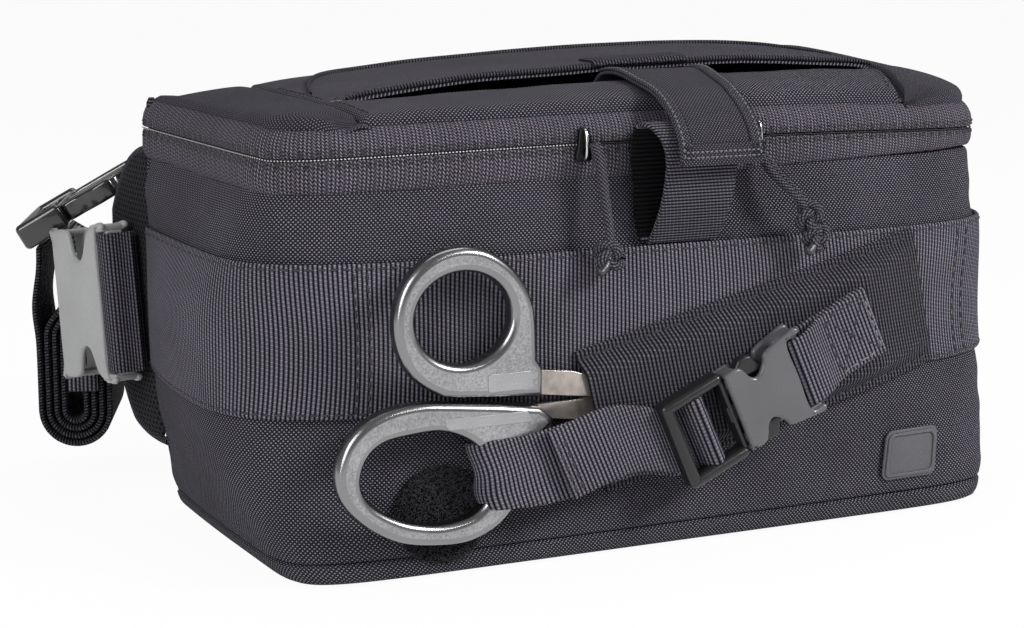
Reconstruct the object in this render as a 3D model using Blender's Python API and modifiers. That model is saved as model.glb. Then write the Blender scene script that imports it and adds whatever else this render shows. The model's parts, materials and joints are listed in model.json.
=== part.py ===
# First-aid waist pack: zipped bag, lid pocket, sheathed bandage shears and a buckled waist belt.
# Metres, +Z up. The origin is the centre of the bottom face, +Y points to the wearer's back panel.
import math

import bmesh
import bpy
import numpy as np
from mathutils import Matrix, Vector

MM = 0.001

# Clearance between pieces that touch
GAP = 0.3 * MM
SEAM_GAP = 0.6 * MM

# Bag body: half width and front reach at the bottom seam, at the belly and at the zip
BACK_SEAM = 58 * MM
HALF_BOTTOM, HALF_BELLY, HALF_ZIP = 137 * MM, 152 * MM, 140 * MM
FRONT_BOTTOM, FRONT_BELLY, FRONT_ZIP = 64.5 * MM, 62 * MM, 56 * MM
BACK_BOTTOM, BACK_BELLY, BACK_ZIP = 136 * MM, 145 * MM, 146 * MM
SQUARE_BOTTOM, SQUARE_BELLY, SQUARE_ZIP = 10.0, 3.3, 5.5
BELLY_HEIGHT = 78 * MM
LOWER_TAPE = 15 * MM
WALL = 3 * MM
BASE = 4 * MM
BACK_PAD = 9 * MM

# Zip
ZIP_HEIGHT = 136 * MM
WALL_TOP = ZIP_HEIGHT - LOWER_TAPE
ZIP_CROWN = 2.5 * MM
ZIP_PARTING = 1.4 * MM
TAPE = 1.6 * MM
TAPE_BULGE = 1.2 * MM
UPPER_TAPE = 9 * MM
COIL_RADIUS = 1.0 * MM
SLIDER_LEFT_X, SLIDER_RIGHT_X = -34 * MM, 33 * MM
SLIDER_WIDTH, SLIDER_HEIGHT, SLIDER_PLATE = 6 * MM, 11 * MM, 1.6 * MM
SLIDER_ROOM = 3 * MM
PULL_CORD = 3.2 * MM
KNOT = 11 * MM

# Lid
LID_SHELL = 3 * MM
LID_RISE_SLIT, LID_RISE_REAR = 8.2 * MM, 11.6 * MM
LID_PANEL_LEFT, LID_PANEL_RIGHT = -110 * MM, 96 * MM
SLIT_Y, SLIT = -15 * MM, 5 * MM
BINDING_RADIUS = 1.3 * MM
LINING = 2 * MM
LINING_DROP = 2.2 * MM
FLAP_WIDTH, FLAP_X, FLAP_THICK = 38 * MM, 8 * MM, 2 * MM
FLAP_HANG, FLAP_REACH = 19.5 * MM, 20 * MM
LOOP_WIDTH, LOOP_X = 28 * MM, 6 * MM
LOOP_RISE, LOOP_OUT = 8.4 * MM, 14 * MM
WEBBING = 1.6 * MM

# Front webbing
BAND_BOTTOM, BAND_WIDTH, BAND_THICK = 53.4 * MM, 50 * MM, 1.8 * MM
SHEATH_WIDTH, SHEATH_LENGTH, SHEATH_TILT = 50 * MM, 141 * MM, math.radians(13.4)
SHEATH_X, SHEATH_Z = -40 * MM, 70.5 * MM
SHEATH_ROOM = 5.2 * MM
BUCKLE_STRAP, BUCKLE_BODY, BUCKLE_FRAME = 25 * MM, 32 * MM, 25 * MM
BUCKLE_X, BUCKLE_Z, BUCKLE_LIFT, BUCKLE_TILT = 13.5 * MM, 47.5 * MM, 10.2 * MM, math.radians(24.5)
PATCH_X, PATCH_Z, PATCH_RADIUS = -88 * MM, 20.5 * MM, 16 * MM
BADGE_X, BADGE_Z, BADGE_HALF_X, BADGE_HALF_Z = 98 * MM, 21.5 * MM, 12 * MM, 8.8 * MM
PATCH_THICK = 1.2 * MM

# Shears, measured in the plane of the bag front
PIVOT_X, PIVOT_Z, PIVOT_RADIUS = -20 * MM, 59 * MM, 3.5 * MM
HANDLE_BACK, HANDLE_THICK, HANDLE_ROUND = 5.5 * MM, 7.5 * MM, 1.8 * MM
HANDLE_END = -50.5 * MM
THUMB_X, THUMB_Z, THUMB_OUTER, THUMB_HOLE = -82.5 * MM, 86 * MM, 23.3 * MM, 17 * MM
FINGER_X, FINGER_Z = -92.5 * MM, 33.5 * MM
FINGER_HALF_X, FINGER_HALF_Z, FINGER_RIM = 32.5 * MM, 21.5 * MM, 6.5 * MM
PARTING_Z = 55.5 * MM
BLADE, BLADE_LENGTH, BLADE_TILT = 1.4 * MM, 78 * MM, math.radians(10)

# Waist belt
BELT = 50 * MM
BELT_THICK = 2 * MM
BELT_BODY, BELT_FRAME = 37 * MM, 19 * MM
BELT_FRONT = 109 * MM
BELT_TURN = math.radians(-22)
WING_ROOT = 58.2 * MM
WING_LENGTH = 42 * MM
WING_PAD = 6 * MM
ROLL_X, ROLL_Z = -160 * MM, 42 * MM
ROLL_RADIUS, ROLL_STRAIGHT = 13.5 * MM, 14 * MM
ROLL_PITCH, ROLL_TURNS = 2.9 * MM, 4
ROLL_LEAD = 56 * MM
KEEPER_WIDTH, KEEPER_HEIGHT = 11 * MM, 20 * MM

COLLECTION = bpy.data.collections.new("waist_pack")
CUTTERS = bpy.data.collections.new("cutters")


def clear_scene():
    for obj in list(bpy.data.objects):
        bpy.data.objects.remove(obj, do_unlink=True)
    bpy.context.scene.collection.children.link(COLLECTION)
    bpy.context.scene.collection.children.link(CUTTERS)


def finish(name, colour, roughness, metallic=0.0):
    material = bpy.data.materials.new(name)
    material.use_nodes = True
    shader = material.node_tree.nodes["Principled BSDF"]
    shader.inputs["Base Color"].default_value = (*colour, 1.0)
    shader.inputs["Roughness"].default_value = roughness
    shader.inputs["Metallic"].default_value = metallic
    return material


def add_object(name, data, material, parent=None, frame=None):
    obj = bpy.data.objects.new(name, data)
    data.materials.append(material)
    COLLECTION.objects.link(obj)
    if frame is not None:
        obj.matrix_world = frame
    if parent is not None:
        obj.parent = parent
        obj.matrix_parent_inverse = parent.matrix_world.inverted()
    return obj


def axis_empty(name, place, rotation=Matrix.Identity(3)):
    empty = bpy.data.objects.new(name, None)
    empty.empty_display_size = 10 * MM
    COLLECTION.objects.link(empty)
    empty.matrix_world = Matrix.Translation(place) @ rotation.to_4x4()
    bpy.context.view_layer.update()
    return empty


def smooth_shading(mesh, angle=40):
    mesh.shade_smooth()
    mesh.set_sharp_from_angle(angle=math.radians(angle))


def sheet(name, columns, rows, place, thickness, material, side=-1.0, parent=None):
    # A grid whose points are laid on a surface by place(column, row), then given a thickness.
    mesh = bpy.data.meshes.new(name)
    work = bmesh.new()
    last_column, last_row = len(columns) - 1, len(rows) - 1
    bmesh.ops.create_grid(work, x_segments=last_column, y_segments=last_row, size=0.5)
    for vert in work.verts:
        column = round((vert.co.x + 0.5) * last_column)
        row = round((vert.co.y + 0.5) * last_row)
        vert.co = place(columns[column], rows[row])
    work.to_mesh(mesh)
    work.free()
    smooth_shading(mesh)
    obj = add_object(name, mesh, material, parent)
    solidify = obj.modifiers.new("thickness", "SOLIDIFY")
    solidify.thickness = thickness
    solidify.offset = side
    solidify.use_even_offset = True
    return obj


def soften(obj, levels=2):
    subdivision = obj.modifiers.new("soft", "SUBSURF")
    subdivision.levels = levels
    subdivision.render_levels = levels


def flat_curve(name, outlines, half_depth, edge=0.0):
    curve = bpy.data.curves.new(name, "CURVE")
    curve.dimensions = "2D"
    curve.fill_mode = "BOTH"
    curve.extrude = half_depth - edge
    curve.bevel_depth = edge
    curve.bevel_resolution = 1
    curve.offset = -edge
    for outline in outlines:
        spline = curve.splines.new("POLY")
        spline.points.add(len(outline) - 1)
        for point, (x, y) in zip(spline.points, outline):
            point.co = (x, y, 0.0, 1.0)
        spline.use_cyclic_u = True
    return curve


def tube(name, points, radius, material, parent=None, sides=2):
    curve = bpy.data.curves.new(name, "CURVE")
    curve.dimensions = "3D"
    curve.bevel_depth = radius
    curve.bevel_resolution = sides
    curve.use_fill_caps = True
    spline = curve.splines.new("POLY")
    spline.points.add(len(points) - 1)
    for point, place in zip(spline.points, points):
        point.co = (*place, 1.0)
    return add_object(name, curve, material, parent)


def box_mesh(name, low, high, edge=0.0):
    mesh = bpy.data.meshes.new(name)
    work = bmesh.new()
    bmesh.ops.create_cube(work, size=1.0)
    low, high = Vector(low), Vector(high)
    for vert in work.verts:
        vert.co = Vector(low[i] + (vert.co[i] + 0.5) * (high[i] - low[i]) for i in range(3))
    if edge:
        bmesh.ops.bevel(
            work, geom=work.edges[:], offset=edge, segments=2, profile=0.5, affect="EDGES"
        )
    work.to_mesh(mesh)
    work.free()
    smooth_shading(mesh)
    return mesh


def helper(name, mesh, frame):
    obj = bpy.data.objects.new(name, mesh)
    CUTTERS.objects.link(obj)
    obj.hide_render = True
    obj.display_type = "WIRE"
    obj.matrix_world = frame
    return obj


def boolean(obj, other, operation):
    modifier = obj.modifiers.new(other.name, "BOOLEAN")
    modifier.operation = operation
    modifier.object = other


def through(points, count):
    # Smooth path through hand-set points, evenly stepped in each span.
    points = [np.array(p, float) for p in points]
    padded = [2 * points[0] - points[1], *points, 2 * points[-1] - points[-2]]
    path = []
    for before, start, end, after in zip(padded, padded[1:], padded[2:], padded[3:]):
        for t in np.linspace(0, 1, count, endpoint=False):
            path.append(
                0.5
                * (
                    2 * start
                    + (end - before) * t
                    + (2 * before - 5 * start + 4 * end - after) * t**2
                    + (3 * start - before - 3 * end + after) * t**3
                )
            )
    path.append(points[-1])
    return np.array(path)


def strip_outline(path, thickness):
    path = np.asarray(path)
    along = np.gradient(path, axis=0)
    along /= np.linalg.norm(along, axis=1)[:, None]
    across = np.stack([-along[:, 1], along[:, 0]], 1) * thickness / 2
    return [*(path + across), *(path - across)[::-1]]


def strip(name, path, thickness, width, material, frame, parent=None):
    # Webbing seen edge-on: its path lies in the frame's XY plane and its width along Z.
    curve = flat_curve(name, [strip_outline(path, thickness)], width / 2)
    return add_object(name, curve, material, parent, frame)


# Frames for outlines drawn in the front plane and in the side plane
FRONT_PLANE = Matrix(((1, 0, 0, 0), (0, 0, -1, 0), (0, 1, 0, 0), (0, 0, 0, 1)))
SIDE_PLANE = Matrix(((0, 0, 1, 0), (1, 0, 0, 0), (0, 1, 0, 0), (0, 0, 0, 1)))


# The bag surface
def at_height(bottom, belly, top, z):
    if z < BELLY_HEIGHT:
        return bottom + (belly - bottom) * (1 - (1 - max(z, 0) / BELLY_HEIGHT) ** 2.5)
    t = min((z - BELLY_HEIGHT) / (ZIP_HEIGHT - BELLY_HEIGHT), 1)
    return belly + (top - belly) * t * t * (3 - 2 * t)


def plan_sizes(z):
    return (
        at_height(HALF_BOTTOM, HALF_BELLY, HALF_ZIP, z),
        at_height(FRONT_BOTTOM, FRONT_BELLY, FRONT_ZIP, z),
        at_height(SQUARE_BOTTOM, SQUARE_BELLY, SQUARE_ZIP, z),
        at_height(BACK_BOTTOM, BACK_BELLY, BACK_ZIP, z),
    )


SIDE_SPAN = 0.4


def plan(k, z):
    # k runs from the left back seam (-1.4) over the front (-1 to 1) to the right back seam (1.4).
    half, reach, square, back = plan_sizes(z)
    if abs(k) <= 1:
        v = (k + 1) / 2
        turn = math.pi * (1 - v - 0.5 * math.sin(4 * math.pi * v) / (4 * math.pi))
        c, s = math.cos(turn), math.sin(turn)
        grow = (abs(c) ** square + abs(s) ** square) ** (-1 / square)
        return np.array((half * c * grow, -reach * s * grow))
    share = (abs(k) - 1) / SIDE_SPAN
    return np.array((math.copysign(half + (back - half) * share**2, k), BACK_SEAM * share))


def wall_point(k, z, lift):
    step = 1e-3
    first, last = max(k - step, -1 - SIDE_SPAN), min(k + step, 1 + SIDE_SPAN)
    along = plan(last, z) - plan(first, z)
    out = np.array((along[1], -along[0])) / np.linalg.norm(along)
    x, y = plan(k, z) + out * lift
    return Vector((x, y, z))


def front_y(x, z):
    half, reach, square, _ = plan_sizes(z)
    return -reach * (1 - abs(x / half) ** square) ** (1 / square)


def front_point(x, z, lift):
    return Vector((x, front_y(x, z) - lift, z))


def zip_line(x):
    return ZIP_HEIGHT + ZIP_CROWN * max(0, 1 - (x / HALF_ZIP) ** 8)


COLUMNS = [
    *np.linspace(-1 - SIDE_SPAN, -1, 4, endpoint=False),
    *np.linspace(-1, 1, 36, endpoint=False),
    *np.linspace(1, 1 + SIDE_SPAN, 5),
]


def spread(count):
    return list(np.linspace(0, 1, count))


def bag_body(fabric, mesh_fabric):
    outline = [plan(k, 0) for k in COLUMNS]
    base = flat_curve("bottom_panel", [outline], BASE / 2, edge=1 * MM)
    add_object("bottom_panel", base, fabric, frame=Matrix.Translation((0, 0, BASE / 2)))
    low = BASE + 2 * GAP

    def wall(k, v):
        return wall_point(k, low + (WALL_TOP - low) * v, 0)

    sheet("front_wall", COLUMNS, spread(10), wall, WALL, fabric)
    heights = np.linspace(low, ZIP_HEIGHT - ZIP_PARTING / 2, 10)
    half = [(at_height(BACK_BOTTOM, BACK_BELLY, BACK_ZIP, z) - WALL - SEAM_GAP, z) for z in heights]
    outline = [*half, *[(-x, z) for x, z in reversed(half)]]
    back = flat_curve("back_panel", [outline], BASE / 2)
    frame = Matrix.Translation((0, BACK_SEAM - BASE / 2, 0)) @ FRONT_PLANE
    add_object("back_panel", back, fabric, frame=frame)

    def pad(u, v):
        margin = 14 * MM
        half_width = BACK_BOTTOM - margin
        top = WALL_TOP - margin / 2
        return Vector((half_width * (1 - 2 * u), BACK_SEAM + GAP, margin + (top - margin) * v))

    soften(sheet("back_pad", spread(9), spread(6), pad, BACK_PAD, mesh_fabric, side=1.0), 1)


def zip_tapes(tape, coil, lid):
    low = WALL_TOP + GAP

    def lower(k, v):
        x = plan(k, ZIP_HEIGHT)[0]
        z = low + (zip_line(x) - ZIP_PARTING / 2 - low) * v
        return wall_point(k, z, TAPE_BULGE * v)

    def upper(k, v):
        x = plan(k, ZIP_HEIGHT)[0]
        z = zip_line(x) + ZIP_PARTING / 2 + (UPPER_TAPE - ZIP_PARTING / 2) * v
        return wall_point(k, z, TAPE_BULGE * (1 - v))

    sheet("lower_zip_tape", COLUMNS, spread(3), lower, TAPE, tape)
    sheet("upper_zip_tape", COLUMNS, spread(3), upper, TAPE, tape, parent=lid)
    for name, side, parent in (("lower_zip_coil", -1, None), ("upper_zip_coil", 1, lid)):
        path = []
        for k in COLUMNS:
            z = zip_line(plan(k, ZIP_HEIGHT)[0]) + side * (ZIP_PARTING / 2 + COIL_RADIUS)
            path.append(wall_point(k, z, TAPE_BULGE - TAPE - 0.5 * MM - COIL_RADIUS))
        tube(name, path, COIL_RADIUS, coil, parent, sides=0)


# The lid
def lid_seam(x):
    return zip_line(x) + UPPER_TAPE + GAP


def lid_under(x, y):
    # Underside of the lid shell: rises from the front seam, steeply to the slit and slowly behind it.
    share = min(1, max(0, (y + FRONT_ZIP) / (SLIT_Y + FRONT_ZIP)))
    rise = LID_RISE_SLIT * (1 - (1 - share) ** 2)
    behind = min(1, max(0, (y - SLIT_Y) / (BACK_SEAM - SLIT_Y)))
    rise += (LID_RISE_REAR - LID_RISE_SLIT) * math.sin(behind * math.pi / 2)
    # The crest lies right of the middle: a long fall to the left and a short one to the right.
    crest = 57 * MM
    if x < crest:
        rise *= 1 - min(1, (crest - x) / (crest + BACK_ZIP)) ** 1.4
    else:
        rise *= 1 - min(1, (x - crest) / (BACK_ZIP - crest)) ** 8
    return lid_seam(x) + rise


def lid_top(x, y):
    return lid_under(x, y) + LID_SHELL


def rim_x(y):
    if y < 0:
        return HALF_ZIP * (1 - (-y / FRONT_ZIP) ** SQUARE_ZIP) ** (1 / SQUARE_ZIP)
    return HALF_ZIP + (BACK_ZIP - HALF_ZIP) * (y / BACK_SEAM) ** 2


def lid_panels(fabric, ribbed, lining, lid):
    front_edge, rear_edge = SLIT_Y - SLIT / 2, SLIT_Y + SLIT / 2

    def front(u, v):
        x = LID_PANEL_LEFT + (LID_PANEL_RIGHT - LID_PANEL_LEFT) * u
        y = front_y(x, ZIP_HEIGHT)
        y += (front_edge - y) * v
        return Vector((x, y, lid_under(x, y)))

    def rear(u, v):
        x = LID_PANEL_LEFT + (LID_PANEL_RIGHT - LID_PANEL_LEFT) * u
        y = rear_edge + (BACK_SEAM - rear_edge) * v
        return Vector((x, y, lid_under(x, y)))

    sheet("lid_front_panel", spread(22), spread(7), front, LID_SHELL, fabric, 1.0, lid)
    sheet("lid_rear_panel", spread(22), spread(7), rear, LID_SHELL, fabric, 1.0, lid)

    def corner(inner, sign):
        start = front_y(inner + sign * 3 * MM, ZIP_HEIGHT)

        def place(u, v):
            y = start + (BACK_SEAM - start) * v
            outer = sign * rim_x(y)
            near = inner + sign * SEAM_GAP
            x = near + (outer - near) * (u if sign > 0 else 1 - u)
            return Vector((x, y, lid_under(x, y)))

        return place

    left, right = corner(LID_PANEL_LEFT, -1), corner(LID_PANEL_RIGHT, 1)
    sheet("lid_corner_left", spread(6), spread(10), left, LID_SHELL, fabric, 1.0, lid)
    sheet("lid_corner_right", spread(6), spread(10), right, LID_SHELL, fabric, 1.0, lid)

    inset = TAPE + 3 * SEAM_GAP
    outline = [plan(k, ZIP_HEIGHT) for k in COLUMNS]
    outline = [(x - math.copysign(inset, x), y + (inset if y < 0 else -inset - BASE)) for x, y in outline]
    plate = flat_curve("lid_lining", [outline], LINING / 2)
    height = ZIP_HEIGHT + UPPER_TAPE - LINING_DROP
    add_object("lid_lining", plate, lining, lid, Matrix.Translation((0, 0, height)))

    reach = BACK_ZIP - TAPE - 2 * COIL_RADIUS - 2 * SEAM_GAP
    sides = np.linspace(-reach, reach, 33)
    low = ZIP_HEIGHT + ZIP_PARTING / 2
    inner_y = BACK_SEAM - BASE / 2
    crest = [(x, lid_under(x, BACK_SEAM) - 2 * SEAM_GAP) for x in sides]
    wall = flat_curve("lid_rear_wall", [[(-reach, low), (reach, low), *reversed(crest)]], BASE / 2)
    add_object("lid_rear_wall", wall, fabric, lid, Matrix.Translation((0, inner_y, 0)) @ FRONT_PLANE)

    inside = 4 * MM
    across = np.linspace(LID_PANEL_LEFT + inside, LID_PANEL_RIGHT - inside, 24)
    lift = BINDING_RADIUS + GAP
    slit = [(x, rear_edge + BINDING_RADIUS, lid_top(x, rear_edge) + lift) for x in across]
    tube("slit_binding", slit, BINDING_RADIUS, ribbed, lid, sides=1)
    rear_y = BACK_SEAM - BINDING_RADIUS
    edge = [(x, rear_y, lid_top(x, rear_y) + lift) for x in across]
    tube("lid_rear_binding", edge, BINDING_RADIUS, ribbed, lid, sides=1)

    tab_left, tab_right = FLAP_X - 14 * MM, FLAP_X + 24 * MM
    tab_front, tab_depth = rear_edge + 2 * BINDING_RADIUS + SEAM_GAP, 9 * MM

    def tab(u, v):
        x = tab_left + (tab_right - tab_left) * u
        y = tab_front + tab_depth * v
        return Vector((x, y, lid_top(x, y) + GAP))

    sheet("pocket_tab", spread(5), spread(4), tab, FLAP_THICK, ribbed, 1.0, lid)


def flap_root():
    y = SLIT_Y - SLIT / 2 - SEAM_GAP
    return (y, lid_top(FLAP_X, y) + SEAM_GAP)


def closure(ribbed, flap):
    # The flap starts at the slit's front lip, lies on the front panel and hangs over the zip.
    lie = FLAP_THICK / 2 + SEAM_GAP
    root_y, root_z = flap_root()
    points = []
    for share in (0, 0.15, 0.37, 0.68):
        y = root_y - share * (FRONT_ZIP + root_y)
        points.append((y, lid_top(FLAP_X, y) + lie))
    rim = lid_top(FLAP_X, -FRONT_ZIP)
    hang = ((0.05, 0.113), (0.55, -0.18), (0.875, -0.564), (1, -1))
    points += [(-FRONT_ZIP - reach * FLAP_REACH, rim + drop * FLAP_HANG) for reach, drop in hang]
    frame = Matrix.Translation((FLAP_X, 0, 0)) @ SIDE_PLANE
    strip("closure_flap", through(points, 4), FLAP_THICK, FLAP_WIDTH, ribbed, frame, flap)

    start = BAND_BOTTOM + BAND_WIDTH + 1 * MM
    # It stands from the band over the zip: shares of its reach and of its height.
    tall = ZIP_HEIGHT + LOOP_RISE - start
    stations = (
        (0.086, 0), (0.4, 0.15), (0.75, 0.375), (1, 0.675), (1, 0.875), (0.786, 1), (0.5, 0.962),
        (0.357, 0.75), (0.3, 0.5), (0.157, 0.25),
    )
    points = []
    for out, rise in stations:
        z = start + rise * tall
        points.append((front_y(LOOP_X, z) - out * LOOP_OUT, z))
    frame = Matrix.Translation((LOOP_X, 0, 0)) @ SIDE_PLANE
    strip("closure_loop", through(points, 4), WEBBING, LOOP_WIDTH, ribbed, frame)


# Zip sliders with their cord pulls
def slider(name, x, plated, body):
    z = zip_line(x)
    surface = front_y(x, z)
    outer = surface - TAPE_BULGE - 0.5 * MM
    inner = surface - TAPE_BULGE + TAPE + 2 * COIL_RADIUS + SLIDER_ROOM
    half = SLIDER_WIDTH / 2
    rise = SLIDER_HEIGHT / 2
    web = ZIP_PARTING / 7
    mesh = box_mesh(name, (x - half, outer - SLIDER_PLATE, z - rise), (x + half, outer, z + rise), 0.5 * MM)
    obj = add_object(name, mesh, plated, body)
    bury = 0.4 * MM
    core = box_mesh(name + "_web", (x - half / 2, outer - bury, z - web), (x + half / 2, inner + bury, z + web))
    boolean(obj, helper(name + "_web", core, Matrix()), "UNION")
    back = box_mesh(
        name + "_back", (x - half, inner, z - rise / 2), (x + half, inner + SLIDER_PLATE, z + rise / 2)
    )
    boolean(obj, helper(name + "_back", back, Matrix()), "UNION")
    eye = bail_place(x)
    mesh = bpy.data.meshes.new(name + "_bail")
    work = bmesh.new()
    bmesh.ops.create_cone(
        work, cap_ends=True, segments=12, radius1=1.2 * MM, radius2=1.2 * MM, depth=SLIDER_WIDTH
    )
    work.to_mesh(mesh)
    work.free()
    turn = Matrix.Rotation(math.pi / 2, 4, "Y")
    boolean(obj, helper(name + "_bail", mesh, Matrix.Translation(eye) @ turn), "UNION")


def bail_place(x):
    z = zip_line(x)
    return Vector((x, front_y(x, z) - TAPE_BULGE - 0.5 * MM - SLIDER_PLATE - 0.6 * MM, z - 3 * MM))


def pull(side, x, route, knot_place, cord, body):
    # Two strands hang from the slider's bail to the knot that joins them.
    eye = bail_place(x)
    run = Vector(route[-1]) - Vector(route[0])
    apart = Vector((-run.z, 0, run.x)).normalized() * (PULL_CORD + SEAM_GAP)
    for name, shift in (("left", -0.5), ("right", 0.5)):
        offset = apart * shift
        points = [eye + offset + Vector(p) * MM for p in route]
        tube(f"pull_cord_{side}_{name}", through(points, 4), PULL_CORD / 2, cord, body)
    mesh = bpy.data.meshes.new(f"pull_knot_{side}")
    work = bmesh.new()
    bmesh.ops.create_uvsphere(work, u_segments=14, v_segments=9, radius=KNOT / 2)
    work.to_mesh(mesh)
    work.free()
    smooth_shading(mesh, 80)
    place = Matrix.Translation(eye + Vector(knot_place) * MM)
    add_object(f"pull_knot_{side}", mesh, cord, body, place)


PULL_LEFT = ((0, -1.4, -2.2), (0.5, -3, -9), (2, -6, -18), (3.5, -9, -27.5))
PULL_LEFT_KNOT = (3.5, -9.5, -33.5)
PULL_RIGHT = ((0, -1.8, -3), (3.5, -4.5, -9), (8.5, -8, -15), (13, -9.8, -21))
PULL_RIGHT_KNOT = (15.3, -10.4, -26.4)


# Front webbing, patches and the shears' buckle strap
def front_webbing(ribbed, fuzzy, rubber):
    def band(k, v):
        return wall_point(k, BAND_BOTTOM + BAND_WIDTH * v, 1.6 * GAP)

    sheet("front_band", COLUMNS, spread(5), band, BAND_THICK, ribbed, 1.0)

    along = Vector((math.cos(SHEATH_TILT), math.sin(SHEATH_TILT)))
    across = Vector((math.sin(SHEATH_TILT), -math.cos(SHEATH_TILT)))
    base_lift = BAND_THICK + 2.4 * GAP

    def sheath(u, v):
        spot = Vector((SHEATH_X, SHEATH_Z)) + along * SHEATH_LENGTH * u + across * SHEATH_WIDTH * (1 - v)
        arch = (1 - abs(2 * v - 1) ** 10) * min(1, (1 - u) / 0.2)
        return front_point(spot.x, spot.y, base_lift + SHEATH_ROOM * arch)

    rows = [0, 0.03, 0.08, 0.2, 0.5, 0.8, 0.92, 0.97, 1]
    sheet("shears_sheath", spread(15), rows, sheath, WEBBING, ribbed, 1.0)

    def patch(u, v):
        u, v = 2 * u - 1, 2 * v - 1
        x = PATCH_X + PATCH_RADIUS * u * math.sqrt(1 - v * v / 2)
        z = PATCH_Z + PATCH_RADIUS * v * math.sqrt(1 - u * u / 2)
        return front_point(x, z, GAP)

    sheet("loop_patch", spread(9), spread(9), patch, PATCH_THICK, fuzzy, 1.0)

    def badge(u, v):
        u, v = 2 * u - 1, 2 * v - 1
        lean = 2 * MM
        x = BADGE_X + BADGE_HALF_X * u * (1 - 0.12 * v * v) + lean * v
        z = BADGE_Z + BADGE_HALF_Z * v * (1 - 0.12 * u * u)
        return front_point(x, z, GAP)

    sheet("badge_patch", spread(7), spread(7), badge, PATCH_THICK, rubber, 1.0)


# Side-release buckle: the mouth is at x = 0, the female body runs to +x, the male frame to -x.
def buckle_sizes(strap, body, frame):
    return {
        "strap": strap,
        "width": strap + 8 * MM,
        "thick": 7 * MM + 0.1 * strap,
        "body": body,
        "frame": frame,
        "shell": 1.9 * MM,
        "bar": 3.2 * MM,
        "slot": 4.6 * MM,
        "recess": 2.3 * MM,
        "arm": 7.5 * MM + 0.42 * strap,
        "tongue": 7 * MM,
    }


def cut_box(obj, label, low, high):
    boolean(obj, helper(f"{obj.name}_{label}", box_mesh(label, low, high), obj.matrix_world), "DIFFERENCE")


def buckle_female(name, size, plastic, parent):
    width, thick, body = size["width"], size["thick"], size["body"]
    over = 1 * MM
    mesh = box_mesh(name, (0, -width / 2, 0), (body, width / 2, thick), 1.4 * MM)
    obj = add_object(name, mesh, plastic, parent, parent.matrix_world)
    half = size["strap"] / 2 + 0.5 * MM
    shell = size["shell"]
    deep = size["arm"] + 1.2 * MM
    cut_box(obj, "cavity", (-over, -half, shell), (deep, half, thick - shell))
    window_start, window_end = 0.16 * size["arm"], 0.88 * size["arm"]
    for side in (-1, 1):
        near, far = sorted((side * (half - over), side * width))
        label = "window" + ("_low" if side < 0 else "_high")
        cut_box(obj, label, (window_start, near, shell), (window_end, far, thick - shell))
        mesh = bpy.data.meshes.new(label)
        work = bmesh.new()
        radius = (window_end - window_start) / 2
        bmesh.ops.create_cone(
            work, cap_ends=True, segments=24, radius1=radius, radius2=radius, depth=3 * thick
        )
        work.to_mesh(mesh)
        work.free()
        centre = ((window_start + window_end) / 2, side * (width / 2 + 0.45 * radius), thick / 2)
        place = obj.matrix_world @ Matrix.Translation(centre)
        boolean(obj, helper(f"{name}_{label}_round", mesh, place), "DIFFERENCE")
    slot_end = body - size["bar"]
    slot_start = slot_end - size["slot"]
    cut_box(obj, "slot", (slot_start, -half, -over), (slot_end, half, thick + over))
    recess = size["recess"]
    cut_box(obj, "under_bar", (slot_start + over, -half, -over), (body + over, half, recess))
    cut_box(obj, "over_bar", (slot_start + over, -half, thick - recess), (body + over, half, thick + over))
    return obj


def buckle_male(name, size, plastic, parent):
    width, thick, frame = size["width"], size["thick"], size["frame"]
    over = 1 * MM
    thin = 1.6 * MM
    mesh = box_mesh(name, (-frame, -width / 2, thin), (-0.5 * MM, width / 2, thick - thin), 1.0 * MM)
    obj = add_object(name, mesh, plastic, parent, parent.matrix_world)
    half = size["strap"] / 2 + 0.5 * MM
    end = -frame + size["bar"]
    for label in ("slot_outer", "slot_inner"):
        cut_box(obj, label, (end, -half, -over), (end + size["slot"], half, thick + over))
        end += size["slot"] + 0.8 * size["bar"]
    shell = size["shell"] + 0.5 * MM
    tongue = box_mesh(
        "tongue", (-2 * MM, -size["tongue"] / 2, shell), (0.9 * size["arm"], size["tongue"] / 2, thick - shell)
    )
    boolean(obj, helper(name + "_tongue", tongue, obj.matrix_world), "UNION")
    return obj


def buckle_arm(name, size, side, plastic, parent, axis):
    # A sprung finger: rooted in the male frame, with a thumb pad that fills the window.
    arm, half = size["arm"], size["strap"] / 2
    pad = size["width"] / 2 - 0.6 * MM
    shape = [
        (0.01, half - 4.2 * MM), (0.01, half - 0.4 * MM), (0.2, half - 0.2 * MM), (0.3, half + 0.8 * MM),
        (0.45, pad - 0.5 * MM), (0.6, pad), (0.72, pad - 0.6 * MM), (0.8, half), (0.98, half - 2.4 * MM),
        (0.98, half - 3.6 * MM), (0.8, half - 4 * MM), (0.4, half - 3.4 * MM),
    ]
    outline = [(share * arm, side * y) for share, y in shape]
    curve = flat_curve(name, [outline], size["thick"] / 2 - size["shell"] - 0.5 * MM)
    frame = parent.matrix_world @ Matrix.Translation((0, 0, size["thick"] / 2))
    return add_object(name, curve, plastic, axis, frame)


def arm_root(size, side):
    return Vector((0, side * (size["strap"] / 2 - 2.3 * MM), size["thick"] / 2))


def bar_loop(size):
    # Path of the webbing round the bar of the female body.
    edge = size["body"] - size["bar"]
    low, high = size["recess"], size["thick"] - size["recess"]
    out = WEBBING / 2 + 0.5 * MM
    turns = np.radians(np.linspace(270, 180, 4))
    path = [(edge + out * math.cos(t), low + out * math.sin(t)) for t in turns]
    path += [(edge + out * math.cos(t), high - out * math.sin(t)) for t in turns[::-1]]
    return path


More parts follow.
